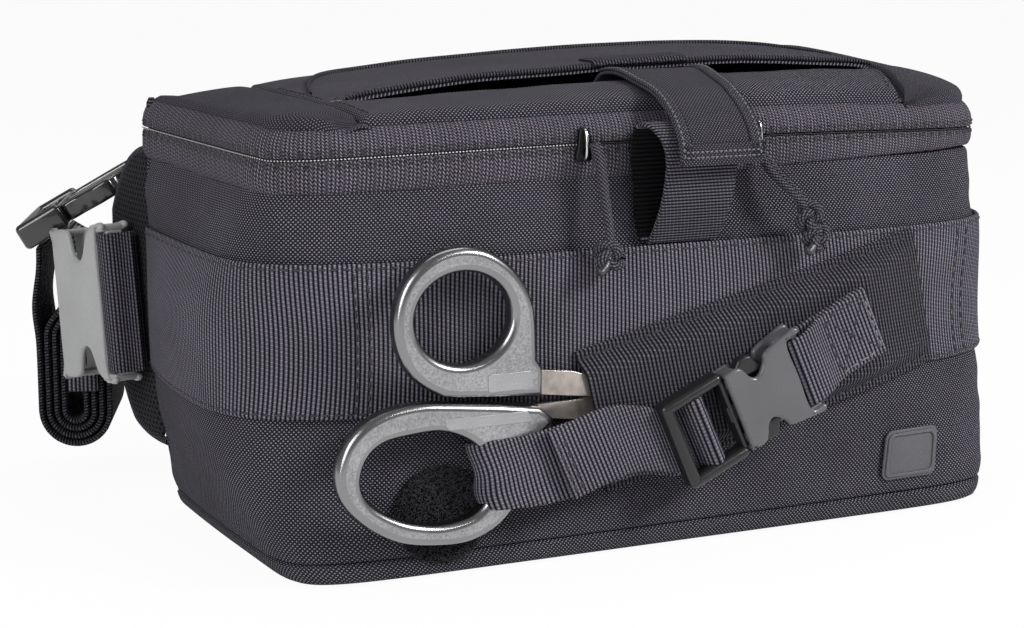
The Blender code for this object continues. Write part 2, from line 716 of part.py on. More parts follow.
def front_buckle(ribbed, plastic):
    size = buckle_sizes(BUCKLE_STRAP, BUCKLE_BODY, BUCKLE_FRAME)
    c, s = math.cos(BUCKLE_TILT), math.sin(BUCKLE_TILT)
    turn = Matrix(((c, -s, 0), (0, 0, -1), (s, c, 0)))
    place = front_point(BUCKLE_X, BUCKLE_Z, BUCKLE_LIFT)
    buckle = axis_empty("front_buckle", place, turn)
    buckle_female("front_buckle_female", size, plastic, buckle)
    buckle_male("front_buckle_male", size, plastic, buckle)
    for label, side in (("upper", 1), ("lower", -1)):
        axis = axis_empty(f"front_arm_{label}_axis", buckle.matrix_world @ arm_root(size, side), turn)
        buckle_arm(f"front_buckle_arm_{label}", size, side, plastic, buckle, axis)

    # The anchor strap is sewn flat on the sheath and doubled round the female bar.
    body, thick = size["body"], size["thick"]
    loop = bar_loop(size)
    low = -BUCKLE_LIFT + BAND_THICK + 2.4 * GAP + SHEATH_ROOM + 1.5 * WEBBING + 0.8 * MM
    high = low + WEBBING + GAP
    under = [(body + 33 * MM, low), (body + 23 * MM, low), (body + 12 * MM, low)]
    under += [(body + 4 * MM, (low + loop[0][1]) / 2), (body, loop[0][1])]
    over = [(body, loop[-1][1]), (body + 5 * MM, loop[-1][1] - 1.4 * MM), (body + 11 * MM, high + 1.2 * MM)]
    over += [(body + 17 * MM, high + 0.1 * MM), (body + 25 * MM, high), (body + 33 * MM, high)]
    points = [*through(under, 3), *loop, *through(over, 3)]
    edge_on = Matrix(((1, 0, 0, 0), (0, 0, -1, 0), (0, 1, 0, 0), (0, 0, 0, 1)))
    frame = buckle.matrix_world @ edge_on
    strip("buckle_anchor_strap", points, WEBBING, BUCKLE_STRAP, ribbed, frame, buckle)

    # The shears strap leaves the male frame, crosses the finger loop and turns back through it.
    turn_x = FINGER_X + FINGER_HALF_X - FINGER_RIM + 1.6 * MM
    top = front_y(turn_x, FINGER_Z) - handle_back() + HANDLE_THICK + 0.6 * MM + WEBBING / 2
    bottom = GAP + WEBBING / 2
    middle = (top + bottom) / 2
    start = buckle.matrix_world @ Vector((-size["frame"] - GAP - 0.4 * MM, 0, thick / 2))
    start_lift = BUCKLE_LIFT + thick / 2
    radius = middle - bottom
    stations = [
        (start.x, start.z, start_lift, 1.0, 0.41), (start.x - 14 * MM, start.z - 5 * MM, start_lift, 1.0, 0.3),
        (start.x - 34 * MM, start.z - 7 * MM, top + 1 * MM, 1.0, 0.14),
        (turn_x + 10 * MM, FINGER_Z - 1 * MM, top, 0.9, 0.05), (turn_x, FINGER_Z - 1.5 * MM, top, 0.8, 0.0),
        (turn_x - 0.71 * radius, FINGER_Z - 1.5 * MM, middle + 0.71 * radius, 0.76, 0.0),
        (turn_x - radius, FINGER_Z - 1.5 * MM, middle, 0.74, 0.0),
        (turn_x - 0.71 * radius, FINGER_Z - 1.5 * MM, middle - 0.71 * radius, 0.74, 0.0),
        (turn_x, FINGER_Z - 1.5 * MM, bottom, 0.74, 0.0),
        (turn_x + 18 * MM, FINGER_Z - 1.5 * MM, bottom, 0.76, 0.0),
    ]
    path = through(stations, 4)

    def strap(u, v):
        x, z, lift, share, lean = path[round(u * (len(path) - 1))]
        half = BUCKLE_STRAP / 2 * share * (2 * v - 1)
        spot_x, spot_z = x - half * math.sin(lean), z + half * math.cos(lean)
        return Vector((spot_x, front_y(spot_x, spot_z) - lift, spot_z))

    sheet("shears_strap", spread(len(path)), spread(4), strap, WEBBING, ribbed, 0.0)


# Bandage shears, drawn in the front plane with the pivot on the thumb half's axis
def arc(x, z, half_x, half_z, start, end, count, square=2.0):
    points = []
    for turn in np.radians(np.linspace(start, end, count)):
        c, s = math.cos(turn), math.sin(turn)
        power = square if c > 0 else 2.0
        grow = (abs(c) ** power + abs(s) ** power) ** (-1 / power)
        points.append((x + half_x * c * grow, z + half_z * s * grow))
    return points


def handle_back():
    return front_y(THUMB_X, PARTING_Z) - HANDLE_BACK


def shears(metal_paint, steel):
    surface = front_y(PIVOT_X, PIVOT_Z)
    pivot = Vector((PIVOT_X, surface, PIVOT_Z))
    axis = axis_empty("shears_pivot", pivot)
    handle_y = handle_back() - HANDLE_THICK / 2
    frame = Matrix.Translation((0, handle_y, 0)) @ FRONT_PLANE
    neck_top = PARTING_Z + 10 * MM
    thumb = arc(THUMB_X, THUMB_Z, THUMB_OUTER, THUMB_OUTER, 4, 262, 30)
    foot = PARTING_Z + SEAM_GAP
    thumb += [(THUMB_X + 4 * MM, foot), (HANDLE_END, foot), (HANDLE_END, neck_top)]
    thumb += [(HANDLE_END - 3 * MM, neck_top + 3.5 * MM)]
    hole = arc(THUMB_X, THUMB_Z, THUMB_HOLE, THUMB_HOLE * 0.96, 0, 345, 24)
    curve = flat_curve("thumb_handle", [thumb, hole], HANDLE_THICK / 2, HANDLE_ROUND)
    add_object("thumb_handle", curve, metal_paint, axis, frame)

    head = PARTING_Z - SEAM_GAP
    finger = arc(FINGER_X, FINGER_Z, FINGER_HALF_X, FINGER_HALF_Z, 72, 375, 34, 3.2)
    finger += [(HANDLE_END, head - 7.5 * MM), (HANDLE_END, head)]
    hole_x, hole_z = FINGER_HALF_X - FINGER_RIM, FINGER_HALF_Z - FINGER_RIM
    hole = arc(FINGER_X, FINGER_Z - 0.8 * MM, hole_x, hole_z, 0, 350, 30, 4.0)
    curve = flat_curve("finger_handle", [finger, hole], HANDLE_THICK / 2, HANDLE_ROUND)
    add_object("finger_handle", curve, metal_paint, frame=frame)

    # Each blade is rooted against its own handle and lies in its own layer under the sheath.
    root = HANDLE_END + GAP
    first_layer = BAND_THICK + 5.4 * GAP
    tip = Vector((PIVOT_X, PIVOT_Z)) + BLADE_LENGTH * Vector((math.cos(BLADE_TILT), math.sin(BLADE_TILT)))
    ring = arc(PIVOT_X, PIVOT_Z, PIVOT_RADIUS + GAP, PIVOT_RADIUS + GAP, 0, 337.5, 16)
    rise = 6.5 * MM
    halves = (
        ("thumb_blade", 1, foot, neck_top - 0.8 * MM, axis, 3),
        ("finger_blade", 0, head - 7 * MM, head, None, -3),
    )
    for name, layer, low, high, parent, tilt in halves:
        upper, lower = (4.5, 5.5) if tilt > 0 else (5.5, 4.5)
        outline = [
            (root, low), (PIVOT_X - 8 * MM, PIVOT_Z - rise), (PIVOT_X + 6 * MM, PIVOT_Z - lower * MM),
            (tip.x - 4 * MM, tip.y - 2.4 * MM), (tip.x, tip.y), (tip.x - 4 * MM, tip.y + 2.4 * MM),
            (PIVOT_X + 8 * MM, PIVOT_Z + upper * MM + 2 * MM), (PIVOT_X - 6 * MM, PIVOT_Z + rise), (root, high),
        ]
        lift = first_layer + BLADE / 2 + layer * (BLADE + GAP)
        curve = flat_curve(name, [outline, ring], BLADE / 2)
        place = Matrix.Translation((0, surface - lift, 0)) @ FRONT_PLANE
        add_object(name, curve, steel, parent, place)
    mesh = bpy.data.meshes.new("pivot_rivet")
    work = bmesh.new()
    depth = 2 * BLADE + GAP
    bmesh.ops.create_cone(
        work, cap_ends=True, segments=16, radius1=PIVOT_RADIUS, radius2=PIVOT_RADIUS, depth=depth
    )
    work.to_mesh(mesh)
    work.free()
    turn = Matrix.Rotation(math.pi / 2, 4, "X")
    place = Matrix.Translation(pivot - Vector((0, first_layer + depth / 2, 0)))
    add_object("pivot_rivet", mesh, steel, frame=place @ turn)


# Waist belt
def wing_point(side, share):
    flare = 1.5 * MM
    x = BACK_BOTTOM + 8 * MM + flare * share
    return Vector((side * x, WING_ROOT + WING_LENGTH * share, 0))


def wing(name, side, fabric, parent=None):
    middle = BELLY_HEIGHT

    def place(u, v):
        spot = wing_point(side, u if side > 0 else 1 - u)
        share = u if side > 0 else 1 - u
        top = middle + 53 * MM - 26 * MM * share**2.2
        bottom = middle - 53 * MM + 26 * MM * share**2.2
        return Vector((spot.x, spot.y, bottom + (top - bottom) * v))

    soften(sheet(name, spread(5), spread(6), place, WING_PAD, fabric, 0.0, parent), 1)


def belt_left(ribbed, plastic, mesh_fabric):
    root = wing_point(-1, 0)
    axis = axis_empty("wing_left_axis", root - Vector((WING_PAD / 2, 0, 0)))
    wing("wing_left", -1, mesh_fabric, axis)
    size = buckle_sizes(BELT, BELT_BODY, BELT_FRAME)
    bar_end = Vector((root.x - 10.5 * MM, root.y + 7 * MM, BELLY_HEIGHT - 2 * MM))
    mouth = bar_end + Vector((-9, 37, -5)).normalized() * size["body"]
    along = (bar_end - mouth).normalized()
    face = along.cross(Vector((0, 0, 1))).normalized()
    up = face.cross(along)
    turn = Matrix((along, up, face)).transposed()
    buckle = axis_empty("belt_buckle", mouth - face * size["thick"] / 2, turn)
    female = buckle_female("belt_buckle_female", size, plastic, buckle)
    female.parent = axis
    female.matrix_parent_inverse = axis.matrix_world.inverted()

    body, thick = size["body"], size["thick"]
    loop = bar_loop(size)
    # Both layers turn in to the wing, where they are sewn together.
    low = loop[0][1] - 0.5 * MM
    high = low + WEBBING + GAP
    under = [(body + 3.6 * MM, low), (body + 2 * MM, low + 0.2 * MM), (body, loop[0][1])]
    over = [(body, loop[-1][1]), (body + 2.2 * MM, loop[-1][1] - 1.4 * MM), (body + 3.4 * MM, thick / 2)]
    over += [(body + 4.2 * MM, high + 2 * MM), (body + 5.6 * MM, high + 0.2 * MM)]
    points = [*through(under, 4), *loop, *through(over, 4)]
    edge_on = Matrix(((1, 0, 0, 0), (0, 0, -1, 0), (0, 1, 0, 0), (0, 0, 0, 1)))
    frame = buckle.matrix_world @ edge_on
    strip("belt_strap_left", points, WEBBING, BELT, ribbed, frame, axis)


def roll_path():
    # One strip hangs from the male buckle and winds inward as a flattened spiral.
    path = []
    for half_turn in range(2 * ROLL_TURNS):
        centre = ROLL_Z + (ROLL_STRAIGHT if half_turn % 2 else -ROLL_STRAIGHT)
        for turn in np.linspace(half_turn, half_turn + 1, 9) * math.pi:
            radius = ROLL_RADIUS - ROLL_PITCH * turn / (2 * math.pi)
            x = -radius * math.cos(turn)
            path.append((x, centre - radius * math.sin(turn)))
    return path


def least_gap(path, thickness):
    # Least clearance between layers of a strip, read on close points well apart along it.
    path = np.asarray(path)
    steps = np.linalg.norm(np.diff(path, axis=0), axis=1)
    run = np.concatenate([[0], np.cumsum(steps)])
    fine = np.arange(0, run[-1], 0.5 * MM)
    points = np.stack([np.interp(fine, run, path[:, i]) for i in range(2)], 1)
    apart = np.linalg.norm(points[:, None] - points[None], axis=2)
    far = np.abs(fine[:, None] - fine[None]) > 6 * thickness
    return apart[far].min() - thickness


def belt_right(ribbed, plastic, mesh_fabric):
    wing("wing_right", 1, mesh_fabric)
    size = buckle_sizes(BELT, BELT_BODY, BELT_FRAME)
    # The rolled end is turned about its front edge: its own Y runs along the roll.
    group = Matrix.Translation((ROLL_X, BELT_FRONT, 0)) @ Matrix.Rotation(BELT_TURN, 4, "Z")
    tilt = math.radians(30)
    turn = (Matrix.Rotation(BELT_TURN, 3, "Z") @ Matrix.Rotation(-tilt, 3, "Y"))
    middle_y = BELT_FRONT + BELT / 2
    place = group @ Vector((1 * MM, BELT / 2, ROLL_Z + ROLL_LEAD))
    buckle = axis_empty("belt_buckle_right", place, turn)
    buckle_male("belt_buckle_male", size, plastic, buckle)
    for label, side in (("front", -1), ("rear", 1)):
        axis = axis_empty(f"belt_arm_{label}_axis", buckle.matrix_world @ arm_root(size, side), turn)
        buckle_arm(f"belt_buckle_arm_{label}", size, side, plastic, buckle, axis)

    bar = group.inverted() @ buckle.matrix_world @ Vector((-0.8 * size["frame"], 0, 0.5 * MM))
    spiral = roll_path()
    left = -ROLL_RADIUS
    lead = through(
        [
            (bar.x, bar.z), (bar.x - 0.4 * MM, bar.z - 9 * MM), (left - 1.2 * MM, ROLL_Z + 26 * MM),
            (left - 0.2 * MM, ROLL_Z + 13 * MM), (left, ROLL_Z),
        ],
        5,
    )
    path = [*lead[:-1], *spiral]
    frame = group @ Matrix.Translation((0, BELT / 2, 0)) @ FRONT_PLANE
    strip("belt_tail_roll", path, BELT_THICK, BELT, ribbed, frame)
    print(f"belt roll: least gap between layers {least_gap(path, BELT_THICK) / MM:.2f} mm")

    # The long strap drops behind the bag, lies on the floor and twists up to the right wing.
    floor = BELT_THICK / 2 + GAP
    end = wing_point(1, 0.2)
    under = buckle.matrix_world @ Vector((-0.45 * size["frame"], 0, 0.8 * MM))
    ahead = Matrix.Rotation(BELT_TURN, 3, "Z") @ Vector((1, 0, 0))
    second = under + 11 * MM * ahead - Vector((0, 0, 7 * MM))
    third = under + 26 * MM * ahead - Vector((0, 0, 18 * MM))
    lean = 0.4 * BELT_TURN
    outside = WING_PAD / 2 + GAP + BELT_THICK / 2
    stations = [
        (*under, 0, BELT_TURN), (*second, 0, BELT_TURN), (*third, 0, BELT_TURN),
        (under.x + 44 * MM, under.y - 8 * MM, 48 * MM, 0, lean),
        (under.x + 64 * MM, under.y - 3 * MM, 17 * MM, 0, lean),
        (under.x + 88 * MM, middle_y, floor + 2 * MM, 0, 0),
        (-40 * MM, middle_y, floor, 0, 0), (5 * MM, middle_y, floor, 0, 0),
        (50 * MM, middle_y, floor + 2.5 * MM, 0, 0),
        (82 * MM, middle_y, 16 * MM, 22, 0), (112 * MM, middle_y - 4 * MM, 32 * MM, 48, 0),
        (138 * MM, middle_y - 13 * MM, 56 * MM, 74, 0),
        (end.x + outside + 2 * MM, end.y + 34 * MM, 74 * MM, 88, 0),
        (end.x + outside + 1.5 * MM, end.y + 14 * MM, BELLY_HEIGHT, 90, 0),
        (end.x + outside, end.y, BELLY_HEIGHT, 90, 0),
    ]
    path = through(stations, 4)
    along = np.gradient(path[:, :3], axis=0)

    def strap(u, v):
        index = round(u * (len(path) - 1))
        x, y, z, twist, yaw = path[index]
        angle = math.radians(twist)
        side = Vector((-math.sin(yaw), math.cos(yaw), 0)) * math.cos(angle) + Vector((0, 0, math.sin(angle)))
        tangent = Vector(along[index]).normalized()
        side = (side - tangent * side.dot(tangent)).normalized()
        return Vector((x, y, z)) + side * BELT * (v - 0.5)

    sheet("belt_strap_long", spread(len(path)), spread(2), strap, BELT_THICK, ribbed, 0.0)

    low = (-0.27 * KEEPER_WIDTH, -GAP - WEBBING, ROLL_Z - 0.3 * KEEPER_HEIGHT)
    high = (0.73 * KEEPER_WIDTH, -GAP, ROLL_Z + 0.7 * KEEPER_HEIGHT)
    add_object("roll_keeper", box_mesh("roll_keeper", low, high), ribbed, frame=group)


def main():
    clear_scene()
    fabric = finish("woven_nylon", (0.028, 0.026, 0.030), 0.85)
    mesh_fabric = finish("spacer_mesh", (0.035, 0.034, 0.036), 0.9)
    tape = finish("zip_tape", (0.034, 0.030, 0.032), 0.8)
    coil = finish("zip_coil", (0.05, 0.05, 0.052), 0.4)
    ribbed = finish("ribbed_webbing", (0.024, 0.023, 0.025), 0.75)
    lining = finish("lining", (0.03, 0.03, 0.032), 0.8)
    fuzzy = finish("loop_pile", (0.010, 0.010, 0.011), 1.0)
    rubber = finish("moulded_rubber", (0.03, 0.03, 0.03), 0.6)
    plastic = finish("buckle_plastic", (0.02, 0.02, 0.021), 0.35)
    plated = finish("blackened_slider", (0.12, 0.12, 0.12), 0.35, 1.0)
    cord = finish("braided_cord", (0.026, 0.025, 0.027), 0.8)
    metal_paint = finish("satin_handle", (0.36, 0.36, 0.37), 0.3, 0.8)
    steel = finish("blade_steel", (0.6, 0.58, 0.56), 0.25, 1.0)

    hinge_height = ZIP_HEIGHT + ZIP_PARTING / 2
    lid = axis_empty("lid_hinge", Vector((0, BACK_SEAM, hinge_height)))
    root_y, root_z = flap_root()
    flap = axis_empty("flap_hinge", Vector((FLAP_X, root_y, root_z)))
    bag_body(fabric, mesh_fabric)
    zip_tapes(tape, coil, lid)
    lid_panels(fabric, ribbed, lining, lid)
    closure(ribbed, flap)
    pulls = (
        ("left", SLIDER_LEFT_X, PULL_LEFT, PULL_LEFT_KNOT),
        ("right", SLIDER_RIGHT_X, PULL_RIGHT, PULL_RIGHT_KNOT),
    )
    for side, x, route, knot_place in pulls:
        body = axis_empty(f"slider_{side}_rail", Vector((x, front_y(x, zip_line(x)), zip_line(x))))
        slider(f"slider_{side}", x, plated, body)
        swing = axis_empty(f"pull_{side}_swing", bail_place(x))
        pull(side, x, route, knot_place, cord, swing)
    front_webbing(ribbed, fuzzy, rubber)
    front_buckle(ribbed, plastic)
    shears(metal_paint, steel)
    belt_left(ribbed, plastic, mesh_fabric)
    belt_right(ribbed, plastic, mesh_fabric)


main()
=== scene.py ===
import json
import math
from functools import partial

import bmesh
import bpy
import numpy as np
from mathutils import Matrix, Vector, noise

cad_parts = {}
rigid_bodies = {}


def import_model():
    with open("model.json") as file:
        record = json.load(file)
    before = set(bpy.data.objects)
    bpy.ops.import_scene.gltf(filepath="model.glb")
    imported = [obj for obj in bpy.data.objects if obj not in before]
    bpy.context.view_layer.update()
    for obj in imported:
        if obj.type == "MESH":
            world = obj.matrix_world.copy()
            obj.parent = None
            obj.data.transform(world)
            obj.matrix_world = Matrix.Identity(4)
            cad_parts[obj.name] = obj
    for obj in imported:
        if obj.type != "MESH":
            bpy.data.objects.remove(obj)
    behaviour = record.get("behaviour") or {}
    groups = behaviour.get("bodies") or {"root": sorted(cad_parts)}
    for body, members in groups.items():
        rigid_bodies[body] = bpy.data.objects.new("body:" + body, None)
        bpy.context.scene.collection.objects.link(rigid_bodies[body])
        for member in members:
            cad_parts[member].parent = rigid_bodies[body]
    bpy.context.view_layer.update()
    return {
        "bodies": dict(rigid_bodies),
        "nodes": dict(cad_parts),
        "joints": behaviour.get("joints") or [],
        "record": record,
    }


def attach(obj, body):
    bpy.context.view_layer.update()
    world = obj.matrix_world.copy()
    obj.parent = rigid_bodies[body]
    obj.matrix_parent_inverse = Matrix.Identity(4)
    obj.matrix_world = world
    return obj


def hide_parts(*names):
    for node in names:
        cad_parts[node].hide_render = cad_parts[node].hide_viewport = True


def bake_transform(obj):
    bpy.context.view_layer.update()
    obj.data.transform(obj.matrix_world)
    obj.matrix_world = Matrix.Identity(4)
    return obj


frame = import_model()
nodes = frame["nodes"]
scene = bpy.context.scene
mm = 0.001  # shapes below are drawn in millimetres
print("frame loaded:", len(nodes), "nodes")


def addObject(name, data):
    obj = bpy.data.objects.new(name, data)
    scene.collection.objects.link(obj)
    return obj


# Camera, measured against the photograph
view = {"place": (-0.3852, -0.7173, 0.2118), "pitch": 9.89, "yaw": 26.28, "lens": 80.1, "sensor": 36, "near": 0.01}
camera = addObject("camera", bpy.data.cameras.new("camera"))
camera.data.lens, camera.data.sensor_width = view["lens"], view["sensor"]
camera.data.sensor_fit = "HORIZONTAL"
camera.data.clip_start = view["near"]
camera.location = view["place"]
camera.rotation_euler = (math.radians(90 - view["pitch"]), 0, math.radians(-view["yaw"]))
scene.camera = camera


# Node helpers
def feed(tree, value, socket):
    if isinstance(value, bpy.types.NodeSocket):
        tree.links.new(value, socket)
    else:
        socket.default_value = value


def addNode(tree, kind, sockets=(), **values):
    node = tree.nodes.new("ShaderNode" + kind)
    for name, value in values.items():
        setattr(node, name, value)
    for label, value in dict(sockets).items():
        feed(tree, value, node.inputs[label])
    return node


def maths(tree, operation, *values):
    return addNode(tree, "Math", enumerate(values), operation=operation).outputs[0]


def newGroup(name, outputs, **sizes):
    # A size of None is a vector, the others are plain values
    tree = bpy.data.node_groups.new(name, "ShaderNodeTree")
    for label, value in sizes.items():
        kind = "NodeSocketFloat" if value else "NodeSocketVector"
        socket = tree.interface.new_socket(label, in_out="INPUT", socket_type=kind)
        if value:
            socket.default_value = value
    for label in outputs:
        tree.interface.new_socket(label, in_out="OUTPUT", socket_type="NodeSocketFloat")
    return tree, partial(maths, tree), tree.nodes.new("NodeGroupInput").outputs


def closeGroup(tree, *values):
    for value, socket in zip(values, tree.nodes.new("NodeGroupOutput").inputs):
        feed(tree, value, socket)
    return tree


yarnRipple = 260
speckLook = {"scale": 900, "above": 0.72, "patches": 120}


def patternGroup(name, wander, **sizes):
    # A weave over the flat cloth, its threads a little uneven as real yarn is
    tree, calc, given = newGroup(name, ("Height", "Over"), Vector=None, **sizes)
    place = given["Vector"]
    if wander:
        ripple = addNode(tree, "TexNoise", {"Vector": place, "Scale": yarnRipple, "Detail": 1}).outputs["Color"]
        moved = {0: ripple, 1: (wander,) * 3, 2: place}
        place = addNode(tree, "VectorMath", moved, operation="MULTIPLY_ADD").outputs[0]
    x, y, _ = addNode(tree, "SeparateXYZ", {0: place}).outputs
    return tree, calc, given, x, y


def wave(calc, value):
    return calc("ABSOLUTE", calc("SINE", calc("MULTIPLY", value, math.pi)))


def odd(calc, value):
    return calc("MODULO", calc("ADD", value, 4000), 2)


def plainWeave():
    tree, calc, given, x, y = patternGroup("plainWeave", 0.00016, Pitch=0.0006)
    u, v = [calc("DIVIDE", value, given["Pitch"]) for value in (x, y)]
    waves = wave(calc, u), wave(calc, v)
    over = odd(calc, calc("ADD", calc("FLOOR", u), calc("FLOOR", v)))
    warp, weft = [calc("MULTIPLY", calc("POWER", own, 0.8), calc("MULTIPLY_ADD", other, 0.6, 0.4))
                  for own, other in (waves, waves[::-1])]
    return closeGroup(tree, addNode(tree, "Mix", {0: over, 2: warp, 3: weft}).outputs[0], over)


def webbingRibs():
    tree, calc, given, x, y = patternGroup("webbingRibs", 0.00012, Pitch=0.0018, Strand=0.0007)
    u = calc("DIVIDE", x, given["Pitch"])
    v = calc("ADD", calc("DIVIDE", y, given["Strand"]), calc("MULTIPLY", calc("FLOOR", u), 0.5))
    rib = calc("POWER", wave(calc, u), 1.3)
    strand = calc("MULTIPLY_ADD", wave(calc, v), 0.35, 0.65)
    return closeGroup(tree, calc("MULTIPLY", rib, strand), odd(calc, calc("FLOOR", v)))


def tapeTwill():
    tree, calc, given, x, y = patternGroup("tapeTwill", 0.00025, Pitch=0.0009, Stripe=0.0007)
    turn = odd(calc, calc("FLOOR", calc("DIVIDE", x, given["Stripe"])))
    slant = calc("ADD", y, calc("MULTIPLY", x, calc("MULTIPLY_ADD", turn, 2, -1)))
    diagonal = wave(calc, calc("DIVIDE", slant, given["Pitch"]))
    yarn = calc("MULTIPLY_ADD", wave(calc, calc("DIVIDE", x, given["Pitch"])), 0.3, 0.7)
    return closeGroup(tree, calc("MULTIPLY", diagonal, yarn), turn)


def spacerMesh():
    tree, calc, given, x, y = patternGroup("spacerMesh", 0.0002, Pitch=0.003)
    row = calc("DIVIDE", y, calc("MULTIPLY", given["Pitch"], 0.8))
    shift = calc("MULTIPLY", odd(calc, calc("FLOOR", row)), 0.5)
    u = calc("ADD", calc("DIVIDE", x, given["Pitch"]), shift)
    hole = calc("MULTIPLY", wave(calc, u), wave(calc, row))
    return closeGroup(tree, calc("SUBTRACT", 1, calc("POWER", hole, 1.6)), shift)


def cordBraid():
    tree, calc, given, x, y = patternGroup("cordBraid", 0, Pitch=0.16)
    one, two = [wave(calc, calc("DIVIDE", calc(way, x, y), given["Pitch"])) for way in ("ADD", "SUBTRACT")]
    return closeGroup(tree, calc("POWER", calc("MULTIPLY", one, two), 0.5), calc("GREATER_THAN", one, two))


def objectNoise(tree, scale, detail):
    spot = addNode(tree, "TexCoord").outputs["Object"]
    return addNode(tree, "TexNoise", {"Vector": spot, "Scale": scale, "Detail": detail}).outputs[0]


def fadeMottle():
    # Broad uneven fading and specks of dust, for every cloth and plastic
    tree, calc, given = newGroup("fadeMottle", ("Shade", "Dust"), Scale=40.0, Amount=0.2)
    centred = calc("SUBTRACT", objectNoise(tree, given["Scale"], 4), 0.5)
    specks = calc("GREATER_THAN", objectNoise(tree, speckLook["scale"], 2), speckLook["above"])
    return closeGroup(tree, calc("MULTIPLY_ADD", centred, given["Amount"], 1), specks)


def surfaceGrain():
    tree, _, given = newGroup("surfaceGrain", ("Height", "Patch"), Scale=2500.0)
    return closeGroup(tree, objectNoise(tree, given["Scale"], 3), objectNoise(tree, speckLook["patches"], 3))


groups = {
    "weave": plainWeave(), "ribs": webbingRibs(), "twill": tapeTwill(), "mesh": spacerMesh(),
    "braid": cordBraid(), "mottle": fadeMottle(), "grain": surfaceGrain(),
}


def placeGroup(tree, name, **sizes):
    return addNode(tree, "Group", sizes, node_tree=groups[name]).outputs


def newMaterial(name, values):
    material = bpy.data.materials.new(name)
    material.use_nodes = True
    socket = material.node_tree.nodes["Principled BSDF"].inputs
    for label, value in values.items():
        socket[label].default_value = value
    return material, material.node_tree, socket


def finishMaterial(tree, socket, shade, colour, height, relief):
    sockets = {0: 1, 6: (*colour, 1), 7: shade}
    mix = addNode(tree, "Mix", sockets, data_type="RGBA", blend_type="MULTIPLY")
    feed(tree, mix.outputs[2], socket["Base Color"])
    bump = addNode(tree, "Bump", {"Distance": relief, "Strength": 1, "Height": height})
    feed(tree, bump.outputs[0], socket["Normal"])


clothLook = {"fade": 0.5, "mottle": 45.0, "contrast": 1.8, "dust": 0.004, "specular": 0.06, "sheenRough": 0.45}
mouldedLook = {"specular": 0.5, "mottle": 60.0}


def clothMaterial(name, kind, pitch, dark, light, relief, under=0.3, roughness=0.82, sheen=0.02,
                  tone=(1, 0.945, 1.15)):
    material, tree, socket = newMaterial(name, {
        "Roughness": roughness, "Specular IOR Level": clothLook["specular"],
        "Sheen Weight": sheen, "Sheen Roughness": clothLook["sheenRough"],
    })
    calc = partial(maths, tree)
    pattern = placeGroup(tree, kind, Vector=addNode(tree, "UVMap").outputs[0], Pitch=pitch)
    mottle = placeGroup(tree, "mottle", Scale=clothLook["mottle"], Amount=clothLook["fade"])
    # painted light: the colour runs from painted shade in the grooves to a painted highlight on the thread tops, and
    # every other set of threads (the under ones) gets painted shade
    lift = calc("MULTIPLY_ADD", pattern["Over"], 1 - under, under)
    height = calc("POWER", pattern["Height"], clothLook["contrast"])
    value = calc("MULTIPLY_ADD", calc("MULTIPLY", height, lift), light - dark, dark)
    value = calc("MULTIPLY_ADD", mottle["Dust"], clothLook["dust"], calc("MULTIPLY", value, mottle["Shade"]))
    finishMaterial(tree, socket, value, tone, pattern["Height"], relief)
    return material


def mouldedMaterial(name, colour, roughness, grain, relief, spread=0.12, metallic=0, coat=0, speckle=0, fade=0.35):
    material, tree, socket = newMaterial(name, {
        "Roughness": roughness, "Metallic": metallic, "Specular IOR Level": mouldedLook["specular"],
        "Coat Weight": coat,
    })
    calc = partial(maths, tree)
    texture = placeGroup(tree, "grain", Scale=grain)
    shade = placeGroup(tree, "mottle", Scale=mouldedLook["mottle"], Amount=fade)["Shade"]
    if speckle:
        shade = calc("MULTIPLY", shade, calc("MULTIPLY_ADD", texture["Height"], 2 * speckle, 1 - speckle))
    feed(tree, calc("MULTIPLY_ADD", texture["Patch"], spread, roughness - spread / 2), socket["Roughness"])
    finishMaterial(tree, socket, shade, colour, texture["Height"], relief)
    return material


# Cloth finishes by the record's slot: name, pattern, pitch, dark (painted shade in the grooves) and light (painted
# highlight on the thread tops) shade, relief, painted shade of the under threads
clothFinishes = {
    "woven_nylon": {
        "fabric": ("wovenNylon", "weave", 0.00074, 0.003, 0.300, 0.00036, 0.10),
        "patch": ("denseNylon", "weave", 0.00062, 0.003, 0.225, 0.00030, 0.18),
        "flap": ("flapNylon", "weave", 0.00066, 0.006, 0.185, 0.00026, 0.20),
    },
    "zip_tape": {"tape": ("zipTwill", "twill", 0.00110, 0.001, 0.260, 0.00032, 0.38, 0.82, 0.02,
                          (1.04, 0.935, 1.15))},
    "ribbed_webbing": {
        "webbing": ("ribbedWebbing", "ribs", 0.00150, 0.002, 0.290, 0.00055, 0.65),
        # painted shade: a near-black copy of the webbing for the loop's inner turn
        "shaded": ("paintedShadeWebbing", "ribs", 0.00150, 0.001, 0.014, 0.00050, 0.7),
        "loop": ("loopWebbing", "ribs", 0.00115, 0.002, 0.205, 0.00045, 0.55),
        "rolled": ("rolledWebbing", "ribs", 0.00115, 0.002, 0.110, 0.00040, 0.6),
        # painted shade: a darker copy of the webbing for the shears' sleeve
        "sleeve": ("shadedSleeveWebbing", "ribs", 0.00150, 0.001, 0.155, 0.00055, 0.6),
        "binding": ("bindingTape", "ribs", 0.0012, 0.003, 0.130, 0.00035, 0.6),
    },
    "spacer_mesh": {
        "mesh": ("airMesh", "mesh", 0.0024, 0.002, 0.055, 0.00070, 0.9),
        "wingMesh": ("wingMesh", "mesh", 0.0024, 0.002, 0.028, 0.00070, 0.9),
    },
    "lining": {"lining": ("liningCloth", "weave", 0.0004, 0.006, 0.03, 0.00008)},
    "loop_pile": {"pile": ("loopPile", "mesh", 0.0011, 0.001, 0.010, 0.0006, 0.3, 1.0, 0.1)},
    "braided_cord": {"cord": ("braidedCord", "braid", 0.0015, 0.003, 0.190, 0.0004, 0.4)},
}
